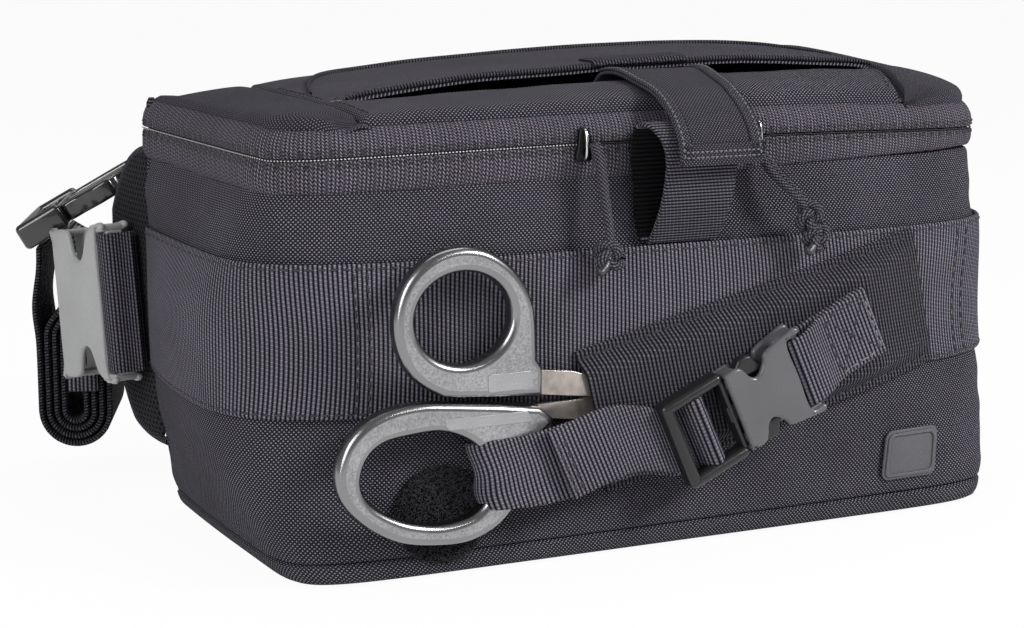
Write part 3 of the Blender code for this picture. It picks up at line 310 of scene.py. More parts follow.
# Moulded and metal finishes: name, colour, roughness, grain, relief, and what else differs
mouldedFinishes = {
    "loop_pile": {"fibre": ("pileFibre", (0.024, 0.023, 0.028), 0.9, 3000, 0.00001, {"speckle": 0.5})},
    "ribbed_webbing": {
        "threadPale": ("paleThread", (0.150, 0.145, 0.160), 0.6, 4000, 0.00003),
        "thread": ("sewingThread", (0.022, 0.021, 0.024), 0.6, 4000, 0.00003),
    },
    "moulded_rubber": {"rubber": ("mouldedRubber", (0.085, 0.085, 0.095), 0.55, 1500, 0.00006, {"speckle": 0.3})},
    "buckle_plastic": {
        "plastic": ("bucklePlastic", (0.092, 0.092, 0.100), 0.34, 2600, 0.00004, {"coat": 0.25, "speckle": 0.35}),
        "plasticDark": ("framePlastic", (0.013, 0.013, 0.014), 0.30, 2600, 0.00004, {"speckle": 0.3}),
        "clipBlack": ("clipBlack", (0.010, 0.010, 0.011), 0.22, 2600, 0.00003, {"coat": 0.8, "speckle": 0.2}),
        # painted reflection: black plastic painted pale grey, as where it catches a light at a grazing angle
        "paleReflection": ("paleReflectionPlastic", (0.335, 0.340, 0.338), 0.42, 2200, 0.00004, {"speckle": 0.3}),
    },
    "braided_cord": {"melted": ("meltedCord", (0.040, 0.039, 0.043), 0.30, 900, 0.0002, {"speckle": 0.6})},
    "zip_coil": {
        "toothDark": ("zipToothDark", (0.012, 0.012, 0.013), 0.4, 1800, 0.00002),
        # painted highlight: pale teeth; toothDark is the teeth's own colour
        "toothHighlight": ("zipToothHighlight", (0.62, 0.60, 0.62), 0.3, 1800, 0.00002),
    },
    "blackened_slider": {
        "bridge": ("brightBridge", (0.62, 0.62, 0.64), 0.22, 900, 0.00001, {"spread": 0.06, "metallic": 1}),
        "slider": ("blackSlider", (0.014, 0.014, 0.015), 0.3, 1600, 0.00002, {"metallic": 0.7}),
    },
    "satin_handle": {
        "satin": ("satinHandle", (0.350, 0.350, 0.360), 0.34, 1500, 0.00014,
                  {"metallic": 0.8, "speckle": 0.65, "fade": 0.6}),
        "polish": ("polishedRim", (0.280, 0.280, 0.288), 0.25, 900, 0.00001, {"spread": 0.06, "metallic": 1}),
        "plate": ("barePlate", (0.38, 0.38, 0.39), 0.36, 1800, 0.00004,
                  {"metallic": 0.7, "speckle": 0.3, "fade": 0.6}),
    },
    "blade_steel": {
        "steel": ("bladeSteel", (0.40, 0.355, 0.33), 0.24, 260, 0.00004,
                  {"spread": 0.2, "metallic": 0.65, "speckle": 0.55}),
    },
}
materials, slots = {}, {}
for slot, finishes in clothFinishes.items():
    for finish, row in finishes.items():
        materials[finish], slots[row[0]] = clothMaterial(*row), slot
for slot, finishes in mouldedFinishes.items():
    for finish, (*row, more) in ((name, row if len(row) > 5 else (*row, {})) for name, row in finishes.items()):
        materials[finish], slots[row[0]] = mouldedMaterial(*row, **more), slot
print("materials made:", len(materials))


# Bag surface, the same as the solids: sizes at the bottom, the belly and the zip
bag = {
    "half": (137, 152, 140), "front": (64.5, 62, 56), "square": (10.0, 3.3, 5.5), "back": (136, 145, 146),
    "backSeam": 58, "belly": 78, "zip": 136, "side": 0.4,
}
zipper = {
    "base": 135.7, "crown": 2.5, "bow": 2.4, "parting": 0.5, "upper": 9, "rearRise": 3.2, "rearFrom": 136,
    "rearRun": 10,
}


def clamp(value):
    return min(1, max(0, value))


def ease(value):
    t = clamp(value)
    return t * t * (3 - 2 * t)


def bell(value, middle, width):
    return math.exp(-(((value - middle) / width) ** 2))


def pillow(t, power):
    # 1 in the middle of a panel, 0 at both edges
    return 1 - min(1, abs(2 * t - 1)) ** power


def wrinkle(place, scale, seed=0.0):
    return noise.noise(Vector(place) * scale + Vector((seed, seed * 2, -seed)))


def atHeight(sizes, z):
    bottom, belly, top = sizes
    if z < bag["belly"]:
        return bottom + (belly - bottom) * (1 - (1 - max(z, 0) / bag["belly"]) ** 2.5)
    return belly + (top - belly) * ease((z - bag["belly"]) / (bag["zip"] - bag["belly"]))


def wallSizes(z):
    return [atHeight(bag[size], z) for size in ("half", "front", "square")]


def plan(k, z):
    # k runs round the wall: -1 to 1 is the front, beyond that are the sides
    half, reach, square = wallSizes(z)
    if abs(k) <= 1:
        v = (k + 1) / 2
        turn = math.pi * (1 - v - 0.5 * math.sin(4 * math.pi * v) / (4 * math.pi))
        c, s = math.cos(turn), math.sin(turn)
        grow = (abs(c) ** square + abs(s) ** square) ** (-1 / square)
        return half * c * grow, -reach * s * grow
    share = (abs(k) - 1) / bag["side"]
    return math.copysign(half + (atHeight(bag["back"], z) - half) * share**2, k), bag["backSeam"] * share


def wallOut(k, z):
    ends = 1 + bag["side"]
    (x0, y0), (x1, y1) = plan(max(k - 1e-3, -ends), z), plan(min(k + 1e-3, ends), z)
    length = math.hypot(x1 - x0, y1 - y0)
    return (y1 - y0) / length, -(x1 - x0) / length


def wallPoint(k, z, lift, height=None):
    (x, y), (outX, outY) = plan(k, z), wallOut(k, z)
    return x + outX * lift, y + outY * lift, z if height is None else height


def frontY(x, z):
    half, reach, square = wallSizes(z)
    return -reach * max(0, 1 - abs(x / half) ** square) ** (1 / square)


def frontPoint(x, z, lift):
    return x, frontY(x, z) - lift, z


def zipLine(x):
    rearRise = zipper["rearRise"] * clamp((-x - zipper["rearFrom"]) / zipper["rearRun"])
    return zipper["base"] + zipper["crown"] * max(0, 1 - abs(x / bag["half"][2]) ** zipper["bow"]) + rearRise


def wallColumns(side, front):
    ends = 1 + bag["side"]
    return [*np.linspace(-ends, -1, side, endpoint=False), *np.linspace(-1, 1, front, endpoint=False),
            *np.linspace(1, ends, side + 1)]


# Mesh helpers; edges sharper than these angles stay sharp
sharpFrom = {"cloth": 50, "round": 80, "plate": 32}


def unit(vectors):
    return vectors / np.maximum(np.linalg.norm(vectors, axis=-1, keepdims=True), 1e-9)


def runOf(path):
    # Length along a path at each of its points
    return np.concatenate([[0], np.cumsum(np.linalg.norm(np.diff(path[:, :3], axis=0), axis=1))])


def evenly(path, step):
    # The same path, in equal steps
    path = np.asarray(path, float)
    run = runOf(path)
    marks = np.linspace(0, run[-1], max(2, int(round(run[-1] / step)) + 1))
    return np.stack([np.interp(marks, run, values) for values in path.T], 1)


def spline(points, count):
    path = []
    for before, start, end, after in zip(points, points[1:], points[2:], points[3:]):
        for t in np.linspace(0, 1, count, endpoint=False):
            path.append(0.5 * (2 * start + (end - before) * t + (2 * before - 5 * start + 4 * end - after) * t**2
                               + (3 * start - before - 3 * end + after) * t**3))
    return path


def through(points, count):
    points = [np.array(p, float) for p in points]
    padded = [2 * points[0] - points[1], *points, 2 * points[-1] - points[-2]]
    return np.array([*spline(padded, count), points[-1]])


def rounded(points, count=6):
    # A closed outline made smooth through its points
    points = [np.array(p, float) for p in points]
    return [tuple(p) for p in spline([points[-1], *points, *points[:2]], count)]


def roundBox(x0, y0, x1, y1, radius, skew=0.0):
    points = []
    for cx, cy, start in ((x1 - radius, y1 - radius, 0), (x0 + radius, y1 - radius, 90),
                          (x0 + radius, y0 + radius, 180), (x1 - radius, y0 + radius, 270)):
        for turn in np.radians(np.linspace(start, start + 90, 6)):
            x, y = cx + radius * math.cos(turn), cy + radius * math.sin(turn)
            points.append((x + skew * (y - (y0 + y1) / 2), y))
    return points


def gridOf(place, us, vs):
    return [[place(u, v) for v in vs] for u in us]


def quads(grid, order="abcd"):
    corner = {"a": grid[:-1, :-1], "b": grid[1:, :-1], "c": grid[1:, 1:], "d": grid[:-1, 1:]}
    return np.stack([corner[letter] for letter in order], 2).reshape(-1, 4).tolist()


def ringQuads(base, rings, sides, order):
    grid = base + np.arange(rings * sides).reshape(rings, sides)
    return quads(np.hstack([grid, grid[:, :1]]), order)


def layUv(mesh, uv):
    layer = mesh.uv_layers.get("UVMap") or mesh.uv_layers.new(name="UVMap")
    index = np.empty(len(mesh.loops), np.int32)
    mesh.loops.foreach_get("vertex_index", index)
    layer.data.foreach_set("uv", uv[index].astype(np.float32).ravel())


def addPiece(name, mesh, finishes, sharp):
    for finish in finishes:
        mesh.materials.append(materials[finish])
    mesh.shade_smooth()
    mesh.set_sharp_from_angle(angle=math.radians(sharp))
    return addObject(name, mesh)


def finishMesh(name, points, faces, uv, finish, sharp=sharpFrom["cloth"]):
    mesh = bpy.data.meshes.new(name)
    mesh.from_pydata([tuple(p) for p in np.asarray(points) * mm], [], faces)
    if uv is not None:
        layUv(mesh, uv * mm)
    return addPiece(name, mesh, [finish], sharp)


def dress(obj, body, *stands, slot=None):
    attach(obj, body)
    if stands:
        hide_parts(*stands)
    return obj


def clothSheet(name, middle, thick, finish, outShare=0.5, edge=0.5, turned=False, swell=0.0):
    # Closed cloth of some thickness over a grid of points, thinner along its edges
    middle = np.asarray(middle, float)
    rows, columns, _ = middle.shape
    normal = unit(np.cross(np.gradient(middle, axis=0), np.gradient(middle, axis=1))) * (-1 if turned else 1)
    cut = np.zeros((rows, columns, 1))
    cut[[0, -1]] = cut[:, [0, -1]] = (1 - edge) * thick * 0.5
    puff = normal * np.broadcast_to(np.asarray(swell, float), (rows, columns))[..., None]
    outer = middle + normal * (thick * outShare - cut) + puff
    inner = middle - normal * (thick * (1 - outShare) - cut) - puff
    points = np.concatenate([outer.reshape(-1, 3), inner.reshape(-1, 3)])
    steps = [np.linalg.norm(np.diff(middle, axis=way), axis=2).mean(1 - way) for way in (0, 1)]
    u, v = [np.concatenate([[0], np.cumsum(step)]) for step in steps]
    flat = np.stack(np.meshgrid(u, v, indexing="ij"), 2).reshape(-1, 2)
    count = rows * columns
    grid = np.arange(count).reshape(rows, columns)
    border = [*grid[:, 0], *grid[-1, 1:], *grid[::-1, -1][1:], *grid[0, ::-1][1:-1]]
    rim = [[int(i) for i in (q, p, p + count, q + count)] for p, q in zip(border, border[1:] + border[:1])]
    faces = quads(grid) + quads(grid + count, "dcba") + rim
    if turned:
        faces = [face[::-1] for face in faces]
    return finishMesh(name, points, faces, np.concatenate([flat, flat + 0.3]), finish)


def margins(cells):
    # Places across a webbing, close together at its edges
    return [0, 0.02, *np.linspace(0.08, 0.92, cells - 1), 0.98, 1]


def ribbon(name, path, across, width, thick, finish="webbing", cells=10, turned=False):
    # Webbing along a path; across is one direction or one for each point
    path = np.asarray(path, float)
    across = unit(np.broadcast_to(np.asarray(across, float), path.shape))
    width = np.broadcast_to(np.asarray(width, float), (len(path),))
    middle = np.stack([path + across * (width * (s - 0.5))[:, None] for s in margins(cells)], 1)
    return clothSheet(name, middle, thick, finish, turned=turned)


def tubeMesh(name, points, radius, finish, sides=12, cyclic=False, twist=0.0):
    # A tube with the length and turn of each point in its UVs
    points = np.asarray(points, float)
    count, wide = len(points), sides + 1
    along = unit(np.gradient(points, axis=0))
    if cyclic:
        along = unit(np.roll(points, -1, axis=0) - np.roll(points, 1, axis=0))
    side = np.cross(along[0], (0, 0, 1) if abs(along[0][2]) < 0.9 else (1, 0, 0))
    sideways = []
    for direction in along:
        side = side - direction * side.dot(direction)
        side = side / np.linalg.norm(side)
        sideways.append(side)
    sideways = np.array(sideways)
    up = np.cross(along, sideways)
    radius = np.broadcast_to(np.asarray(radius, float), (count,))
    run = runOf(points)
    rings, uv = [], []
    for turn in 2 * math.pi * np.arange(wide) / sides:
        rings.append(points + (sideways * math.cos(turn) + up * math.sin(turn)) * radius[:, None])
        uv.append(np.stack([run, radius.mean() * turn + twist * run], 1))
    grid = np.arange(count * wide).reshape(count, wide)
    faces = quads(np.vstack([grid, grid[:1]]) if cyclic else grid, "adcb")
    if not cyclic:
        faces += [grid[0, sides - 1::-1].tolist(), grid[-1, :sides].tolist()]
    rings, uv = np.stack(rings, 1).reshape(-1, 3), np.stack(uv, 1).reshape(-1, 2)
    return finishMesh(name, rings, faces, uv, finish, sharpFrom["round"])


def platesPiece(name, plates, place, *finishes):
    # Round-edged plates, each from outlines between two heights; a second finish goes on their flat faces
    work = bmesh.new()
    for outlines, low, high, rim in plates:
        curve = bpy.data.curves.new(name + "_outline", "CURVE")
        curve.dimensions, curve.fill_mode = "2D", "BOTH"
        curve.extrude = ((high - low) / 2 - rim) * mm
        curve.bevel_depth, curve.offset = rim * mm, -rim * mm
        curve.bevel_resolution = 5
        for outline in outlines:
            line = curve.splines.new("POLY")
            line.points.add(len(outline) - 1)
            for point, (x, y) in zip(line.points, outline):
                point.co = (x * mm, y * mm, 0, 1)
            line.use_cyclic_u = True
        holder = addObject(name + "_outline", curve)
        bpy.context.view_layer.update()
        plate = bpy.data.meshes.new_from_object(holder)
        bpy.data.objects.remove(holder)
        plate.transform(Matrix.Translation((0, 0, (low + high) / 2 * mm)))
        work.from_mesh(plate)
    bmesh.ops.remove_doubles(work, verts=work.verts, dist=2e-6)
    for face in work.faces:
        face.material_index = int(len(finishes) > 1 and abs(face.normal.z) > 0.997)
    for vert in work.verts:
        vert.co = Vector(place(*(vert.co / mm))) * mm
    bmesh.ops.recalc_face_normals(work, faces=work.faces)
    mesh = bpy.data.meshes.new(name)
    work.to_mesh(mesh)
    work.free()
    return addPiece(name, mesh, finishes, sharpFrom["plate"])


# Stitches gather here, then become one mesh for each body
thread = {"length": 2.7, "gap": 1.2, "radius": 0.38}
stitchRings = ((0, 0.35, -0.5), (0.15, 0.9, 0), (0.5, 1, 0.12), (0.85, 0.9, 0), (1, 0.35, -0.5))
stitches = {}


def stitchAlong(body, points, normals, length=thread["length"], radius=thread["radius"], finish="thread",
                gap=thread["gap"]):
    # normals is one direction or one for each point
    points = np.asarray(points, float)
    normals = np.broadcast_to(np.asarray(normals, float), points.shape)
    run = runOf(points)
    for start in np.arange(gap / 2, run[-1] - length, length + gap):
        ends = [np.array([np.interp(start + length * share, run, column) for column in values.T])
                for share, values in ((0, points), (1, points), (0.5, normals))]
        stitches.setdefault((body, finish), []).append((*ends, radius))


def stitchOn(body, place, track, lift=0.15):
    # A row of stitches over a surface given by place(u, v)
    points, normals = [], []
    for u, v in evenly(track, 0.01):
        here = np.array(place(u, v))
        du, dv = np.array(place(u + 1e-3, v)) - here, np.array(place(u, v + 1e-3)) - here
        normals.append(unit(np.cross(du, dv)))
        points.append(here + normals[-1] * lift)
    stitchAlong(body, points, normals)


def sewAll():
    for (body, finish), rows in stitches.items():
        verts, faces = [], []
        for start, end, normal, radius in rows:
            along = unit(end - start)
            side = unit(np.cross(along, normal))
            up = np.cross(side, along)
            base = len(verts)
            for share, grow, drop in stitchRings:
                centre = start + (end - start) * share + up * drop * radius
                for turn in np.arange(6) * math.pi / 3:
                    verts.append(centre + (side * math.cos(turn) + up * math.sin(turn) * 0.8) * radius * grow)
            faces += ringQuads(base, 5, 6, "dabc")
            faces += [list(range(base, base + 6)), list(range(base + 29, base + 23, -1))]
        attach(finishMesh(f"{finish}_{body}", verts, faces, None, finish, sharpFrom["round"]), body)


# Zip pulls: two strands of braided cord from each slider to its knot
pulls = {
    "left": {
        "eye": (-34, -59.9, 135.49), "apart": 2.0, "lean": 0.2, "knots": ((4.3, -9.5, -33.5),),
        "route": ((1.6, -3.6, 3.4), (3.0, -3.8, 0.3), (4.0, -4.4, -6), (4.4, -6.2, -15), (4.6, -9, -25.5),
                  (4.4, -9.6, -33)),
    },
    "right": {
        "eye": (33, -59.9, 135.49), "apart": 2.2, "lean": 0.6, "knots": ((14.7, -10.4, -24.8), (17.4, -10.6, -31.6)),
        "route": ((0, -1.8, -3), (3.5, -4.5, -9), (8.5, -8, -15), (13, -9.8, -21), (16, -10.6, -27),
                  (18, -10.8, -33)),
    },
}
cordSizes = {"diameter": 2.8, "knotCord": 1.6, "knots": (1.62, 1.45), "tip": 1.5, "depth": 2.0}
strandSpread = np.array((1, 1, 1, 0.55, 0.55, 0.55))[:, None]  # the strands meet toward the knot
tipRoute = np.array(((0, 0, 0), (-2.5, -1.5, -3.2), (-5.2, -2.2, -5.0)))
sliderShape = ((-2.9, -2.2), (-2.2, 2.4), (-1.6, 7.6), (0, 8.6), (1.6, 7.6), (2.2, 2.4), (2.9, -2.2), (0, -2.9))
bridgeArch = ((7.4, 0.2), (7.2, 1.4), (4.5, 2.3), (0, 2.2), (-1.8, 1.2), (-2, 0.2))


def tiedKnot(name, centre, size, lean):
    # A trefoil pulled tight
    points = []
    for t in np.linspace(0, 2 * math.pi, 72, endpoint=False):
        ring = 1.9 + math.cos(3 * t)
        spot = Vector((ring * math.cos(2 * t), math.sin(3 * t), ring * math.sin(2 * t) * 0.95))
        points.append(np.array(Matrix.Rotation(lean, 3, "Y") @ (spot * size)) + centre)
    return tubeMesh(name, points, cordSizes["knotCord"], "cord", 10, cyclic=True)


def makeSlider(side, eye):
    # Tapered body over the teeth, with a bright bridge that holds the cord
    def onZip(x, z, h):
        return eye[0] + x, eye[1] + 0.6 - h, eye[2] + z

    shape = rounded(sliderShape, 5)
    plates = [([shape], -1.4, 0.6, 0.6), ([shape], -8.6, -6.6, 0.6),
              ([roundBox(-0.9, 4.4, 0.9, 7.6, 0.6)], -7.4, -0.8, 0.3)]
    dress(platesPiece("zip_body_" + side, plates, onZip, "slider"), "slider_" + side, "slider_" + side)
    arch = through([onZip(0, z, h) for z, h in bridgeArch], 6)
    dress(tubeMesh("zip_bridge_" + side, arch, 0.55, "bridge", 10), "slider_" + side)


for side, pull in pulls.items():
    eye, route, body = np.array(pull["eye"]), np.array(pull["route"]), "pull_" + side
    makeSlider(side, eye)
    run = route[-1] - route[0]
    apart = unit(np.array((-run[2], 0, run[0]))) * pull["apart"] + np.array((0, cordSizes["depth"], 0))
    for index, place in enumerate(pull["knots"]):
        knot = tiedKnot(f"knot_{side}_{index}", eye + place, cordSizes["knots"][index], 0.5 * index + pull["lean"])
        dress(knot, body, *[f"pull_knot_{side}"][index:])
    # melted end that sticks out of the last knot
    tip = through(eye + pull["knots"][-1] + tipRoute, 6)
    tipSize = cordSizes["tip"] * np.array([*np.ones(len(tip) - 3), 1.12, 1.1, 0.5])
    dress(tubeMesh("cord_tip_" + side, tip, tipSize, "melted"), body)
    for label, shift in (("left", -0.5), ("right", 0.5)):
        path = evenly(through(eye + route + apart * shift * strandSpread, 8), 1.2)
        cord = tubeMesh(f"cord_{side}_{label}", path, cordSizes["diameter"] / 2, "cord")
        dress(cord, body, f"pull_cord_{side}_{label}")
print("pulls done")


# Bag wall: one lofted shell from the underside to the zip tape, with its sag and folds
wall = {
    "wrinkle": 1.8, "crease": 0.7, "hem": 7.4, "hemDip": 1.5, "hemRoll": 0.5, "thick": 2.6, "columns": (16, 150),
    "band": (52, 105), "bandCalm": 0.3, "billow": 1.3, "billowZ": 117, "pucker": 1.1, "puckerZ": 112, "tapeZ": 128,
    "foot": ((-7, 0.6), (-4.5, 0.4), (-2.2, 0.5), (-0.7, 1.3), (0, 2.8), (0.3, 4.6), (0.3, 6.4)),
    "top": ((-0.6, 128.2), (-2.0, 129), (-4.5, 128.5)),
    "heights": (6.8, 7.1, 7.4, 7.7, 8, 8.6, 9.6, 11, *np.linspace(13, 51, 22), 53, *np.linspace(56, 101, 14), 103.5,
                *np.linspace(105, 127, 20)),
}
backBinding = {"radius": 1.9, "y": bag["backSeam"] - 1.1, "twist": 0.8}


def sideShare(k):
    # 1 round the left corner and the sides, down to 0.25 on the front
    return 0.25 + 0.75 * ease((-k - 0.35) / 0.4 if k < 0 else (k - 0.8) / 0.2)


def wallLift(k, z):
    x, y = plan(k, z)
    low, high = wall["band"]
    soft = (wall["bandCalm"] if low < z < high else 1.0) * min(1, z / 25) * clamp((wall["tapeZ"] - z) / 10)
    lift = wall["wrinkle"] * soft * wrinkle((x, y, z * 1.4), 0.022, 3)
    lift += wall["crease"] * soft * wrinkle((x, y, z * 2.2), 0.06, 7)
    # the fabric bellies out under the zip tape and is drawn in by its seam
    side = sideShare(k)
    lift += side * wall["billow"] * bell(z, wall["billowZ"], 5) * (0.7 + 0.5 * wrinkle((x, y, 0), 0.03, 11))
    lift += side * wall["pucker"] * bell(z, wall["puckerZ"], 8) * wrinkle((x, y, z * 0.25), 0.09, 13)
    return lift - wall["hemDip"] * bell(z, wall["hem"], 0.45) + wall["hemRoll"] * bell(z, wall["hem"] + 5, 3)


def planGrid(z, inset, height):
    # Points over the whole plan at one height, a little inside the wall
    grid = []
    for x in (atHeight(bag["half"], z) - inset) * np.sin(np.linspace(-1, 1, 50) * math.pi / 2):
        front, rear = frontY(x, z) + inset, bag["backSeam"] - 1.5
        grid.append([(x, y, height(x, y)) for y in front + (rear - front) * np.linspace(0, 1, 20)])
    return grid


def backPoint(x, z):
    half = atHeight(bag["back"], z) - 3.4
    return -x * half, bag["backSeam"] + 0.1 + 0.5 * wrinkle((x * half, 0, z), 0.03, 5), z


def makeWall():
    middle = []
    for k in wallColumns(*wall["columns"]):
        middle.append([wallPoint(k, max(z, 0.01), inset, z) for inset, z in wall["foot"]]
                      + [wallPoint(k, z, wallLift(k, z)) for z in wall["heights"]]
                      + [wallPoint(k, 127, lift, z) for lift, z in wall["top"]])
    shell = clothSheet("bag_shell", middle, wall["thick"], "fabric", outShare=0, edge=1)
    dress(shell, "bag", "front_wall", "bottom_panel")
    floor = planGrid(0, 3.5, lambda x, y: 1.3 + 0.5 * wrinkle((x, y, 0), 0.03))
    dress(clothSheet("bag_base", floor, 1.6, "fabric", outShare=0, edge=1, turned=True), "bag")
    back = gridOf(backPoint, np.linspace(-1, 1, 40), np.linspace(3, 134.6, 24))
    dress(clothSheet("back_cloth", back, 3.2, "fabric", outShare=0, edge=0.7), "bag", "back_panel")
    # bound seam round the back: down one side, along the bottom and up the other
    inset, y = backBinding["radius"], backBinding["y"]
    foot = inset - atHeight(bag["back"], 4)
    half = [(inset - atHeight(bag["back"], z), y, z) for z in np.linspace(135, 7, 60)]
    half += [(foot + 0.4, y, 4.4), (foot + 1.6, y, 2.9), (foot + 4, y, 2.2)]
    path = evenly(half + [(-x, y, z) for x, y, z in reversed(half)], 2.5)
    size = np.full(len(path), inset)
    size[[0, -1]] *= 0.5
    dress(tubeMesh("back_binding", path, size, "binding", twist=backBinding["twist"]), "bag")


makeWall()
print("wall done")


# Zip: two twill tapes that roll out along the teeth
tapeRoll = {
    "lower": ((0, -1.6), (0.05, -0.2), (0.13, 0.9), (0.25, 1.7), (0.4, 2.1), (0.6, 2.1), (0.8, 1.9), (0.95, 1.6),
              (1, 1.2)),
    "upper": ((0, 1.2), (0.05, 1.6), (0.25, 1.8), (0.5, 1.3), (0.7, 0.4), (0.88, -0.9), (1, -2.4)),
    "flat": ((0, 0.1), (0.08, 0.5), (0.2, 0.8), (0.4, 1.3), (0.7, 1.6), (0.95, 1.5), (1, 1.2)),
    "thick": 1.5, "ribs": {"lower": (0.80, 0.89), "upper": (0.12, 0.24)},
}
teeth = {"spacing": 0.6, "radius": 0.36, "highlightTo": -34, "shape": (1.15, 0.8, 0.75)}


def rollAt(kind, share):
    return float(np.interp(share, *zip(*tapeRoll[kind])))


def tapePoint(label, k, share):
    x, y = plan(k, bag["zip"])
    line, upper = zipLine(x), label == "upper"
    lift = rollAt(label, share)
    pinch = 0.45 * wrinkle((x, y, 0), 0.045, 21 if upper else 17)
    if upper:
        z = line + zipper["parting"] / 2 + (zipper["upper"] + 0.6) * share
    else:
        flat = rollAt("flat", share)
        lift = flat + (lift - flat) * sideShare(k)
        depth = float(np.interp(x, (20, 70, 125), (11.6, 10, 6.5)))
        low = line - depth + 0.7 * wrinkle((x, y, 0), 0.025, 19)
        z = low + (line - zipper["parting"] / 2 - low) * share
    return wallPoint(k, z, lift + pinch * math.sin(math.pi * share))


def makeZip():
    ball = bmesh.new()
    bmesh.ops.create_icosphere(ball, subdivisions=1, radius=teeth["radius"])
    shape = np.array([v.co for v in ball.verts]) * teeth["shape"]
    sides = [[v.index for v in f.verts] for f in ball.faces]
    ball.free()
    line = evenly([wallPoint(k, zipLine(plan(k, bag["zip"])[0]), 1.35) for k in wallColumns(30, 400)],
                  teeth["spacing"])
    columns, fine = wallColumns(14, 140), wallColumns(20, 220)
    for first, (label, body) in enumerate((("lower", "bag"), ("upper", "lid"))):
        middle = gridOf(partial(tapePoint, label), columns, np.linspace(0, 1, 17))
        tape = clothSheet(label + "_tape", middle, tapeRoll["thick"], "tape", outShare=0, edge=0.6)
        dress(tape, body, label + "_zip_tape")
        for row in tapeRoll["ribs"][label]:
            normals = [(*wallOut(k, 130), 0.1) for k in fine]
            stitchAlong(body, [tapePoint(label, k, row) for k in fine], normals, 0.8, 0.42, "toothDark")
        verts, faces = [], []
        for here, ahead in zip(line[first:-1:2], line[first + 1::2]):
            along = unit(ahead - here)
            out = np.array((along[1], -along[0], 0))
            faces += [[len(verts) + i for i in side] for side in sides]
            verts += [here + along * x + out * y + np.array((0, 0, z)) for x, y, z in shape]
        row = finishMesh(label + "_teeth", verts, faces, None, "toothHighlight", sharpFrom["round"])
        # painted highlight: the lower teeth on the left get the pale finish, all others the dark one
        row.data.materials.append(materials["toothDark"])
        for face in row.data.polygons:
            face.material_index = int(face.center.x > teeth["highlightTo"] * mm or label == "upper")
        dress(row, body, label + "_zip_coil")
    # painted shade: a dark lining strip behind the teeth, so the gap between the tapes looks dark
    strip = []
    for k in columns:
        line = zipLine(plan(k, bag["zip"])[0])
        strip.append([wallPoint(k, z, -1.9) for z in np.linspace(line - 9.5, line + 1.6, 9)])
    dress(clothSheet("zip_shade_strip", strip, 0.8, "lining", outShare=0), "bag", slot="zip_coil")


makeZip()
print("zip done")


# Lid
lid = {
    "riseSlit": 8.2, "riseRear": 12.8, "left": -110, "right": 112, "slit": -15, "gap": 6.5, "shell": 3, "front": 56,
    "rear": bag["backSeam"] - 0.2, "crest": 57, "puff": 1.2, "puffRear": 1.1, "puffCorner": 1.5, "fold": 0.7,
    "sag": 3.4, "lift": 3.0, "seamFront": 97, "edge": 45, "cornerFront": -54, "slitMiddle": 5.3,
    "slitHalf": 105.4, "tuck": 2.2, "tuckShare": 0.012, "roll": 3.4, "cloth": 2.6, "fill": 0.4,
    "hinge": (135.2, 138.2),
}
lid["wide"] = lid["right"] - lid["left"]


def lidUnder(x, y):
    share = clamp((y + lid["front"]) / (lid["slit"] + lid["front"]))
    behind = clamp((y - lid["slit"]) / (bag["backSeam"] - lid["slit"]))
    rise = lid["riseSlit"] * (1 - (1 - share) ** 2)
    rise += (lid["riseRear"] - lid["riseSlit"]) * math.sin(behind * math.pi / 2)
    if x < lid["crest"]:
        rise *= 1 - min(1, (lid["crest"] - x) / (lid["crest"] + bag["back"][2])) ** 1.4
    else:
        rise *= 1 - (1 - clamp((rimX(y) - x) / lid["edge"])) ** 3
    return zipLine(x) + zipper["upper"] + 0.3 + rise


def lidTop(x, y):
    return lidUnder(x, y) + lid["shell"]


def rimX(y):
    half, square, back = bag["half"][2], bag["square"][2], bag["back"][2]
    if y < 0:
        return half * max(0, 1 - (-y / lid["front"]) ** square) ** (1 / square)
    return half + (back - half) * (y / bag["backSeam"]) ** 2


def slitOpen(x):
    return max(0, 1 - ((x - lid["slitMiddle"]) / lid["slitHalf"]) ** 2) ** 0.35


def halfSlit(x):
    return lid["gap"] / 2 * slitOpen(x) + 0.1


def slitRear(x):
    return lid["slit"] + halfSlit(x) - 0.6


def rightSeam(y):
    # The right patch's seam runs inward toward the front
    share = clamp((y - lid["cornerFront"]) / (lid["slit"] - lid["cornerFront"]))
    return lid["seamFront"] + (lid["right"] - lid["seamFront"]) * share


def endTuck(u):
    ends = [max(0, 1 - share / lid["tuckShare"]) for share in (u, 1 - u)]
    return lid["tuck"] * sum(ends)


def frontPanel(u, v):
    narrow = (lid["seamFront"] - lid["left"]) / lid["wide"]
    x = lid["left"] + 0.4 + (lid["wide"] - 0.8) * u * (narrow + (1 - narrow) * v)
    sag = lid["sag"] * slitOpen(x)
    rim = frontY(x, bag["zip"]) + 1.6
    y = rim + (lid["slit"] - halfSlit(x) - 0.4 * sag - rim) * v
    z = lidTop(x, y) + lid["puff"] * pillow(u, 14) * pillow(v, 5)
    z -= endTuck(u) + lid["roll"] * max(0, 1 - v / 0.09) ** 3 + sag * v**4
    z += lid["fold"] * wrinkle((x, y * 1.5, 0), 0.03, 31) * min(1, v * 6) + 0.3 * wrinkle((x, y, 4), 0.08, 33)
    return x, y, z


def rearSurface(x, y):
    u = (x - lid["left"]) / lid["wide"]
    v = clamp((y - slitRear(x)) / (lid["rear"] - slitRear(x)))
    puff = lid["puffRear"] * pillow(u, 14) * pillow(v, 6) + lid["lift"] * slitOpen(x) * (1 - v) ** 5
    return lidTop(x, y) + puff + lid["fold"] * wrinkle((x, y, 8), 0.03, 35)


def rearPanel(u, v):
    x = lid["left"] + 0.4 + (lid["wide"] - 0.8) * u
    y = slitRear(x) + (lid["rear"] - slitRear(x)) * v
    return x, y, rearSurface(x, y) - endTuck(u) - 1.2 * max(0, 1 - (1 - v) / 0.05)


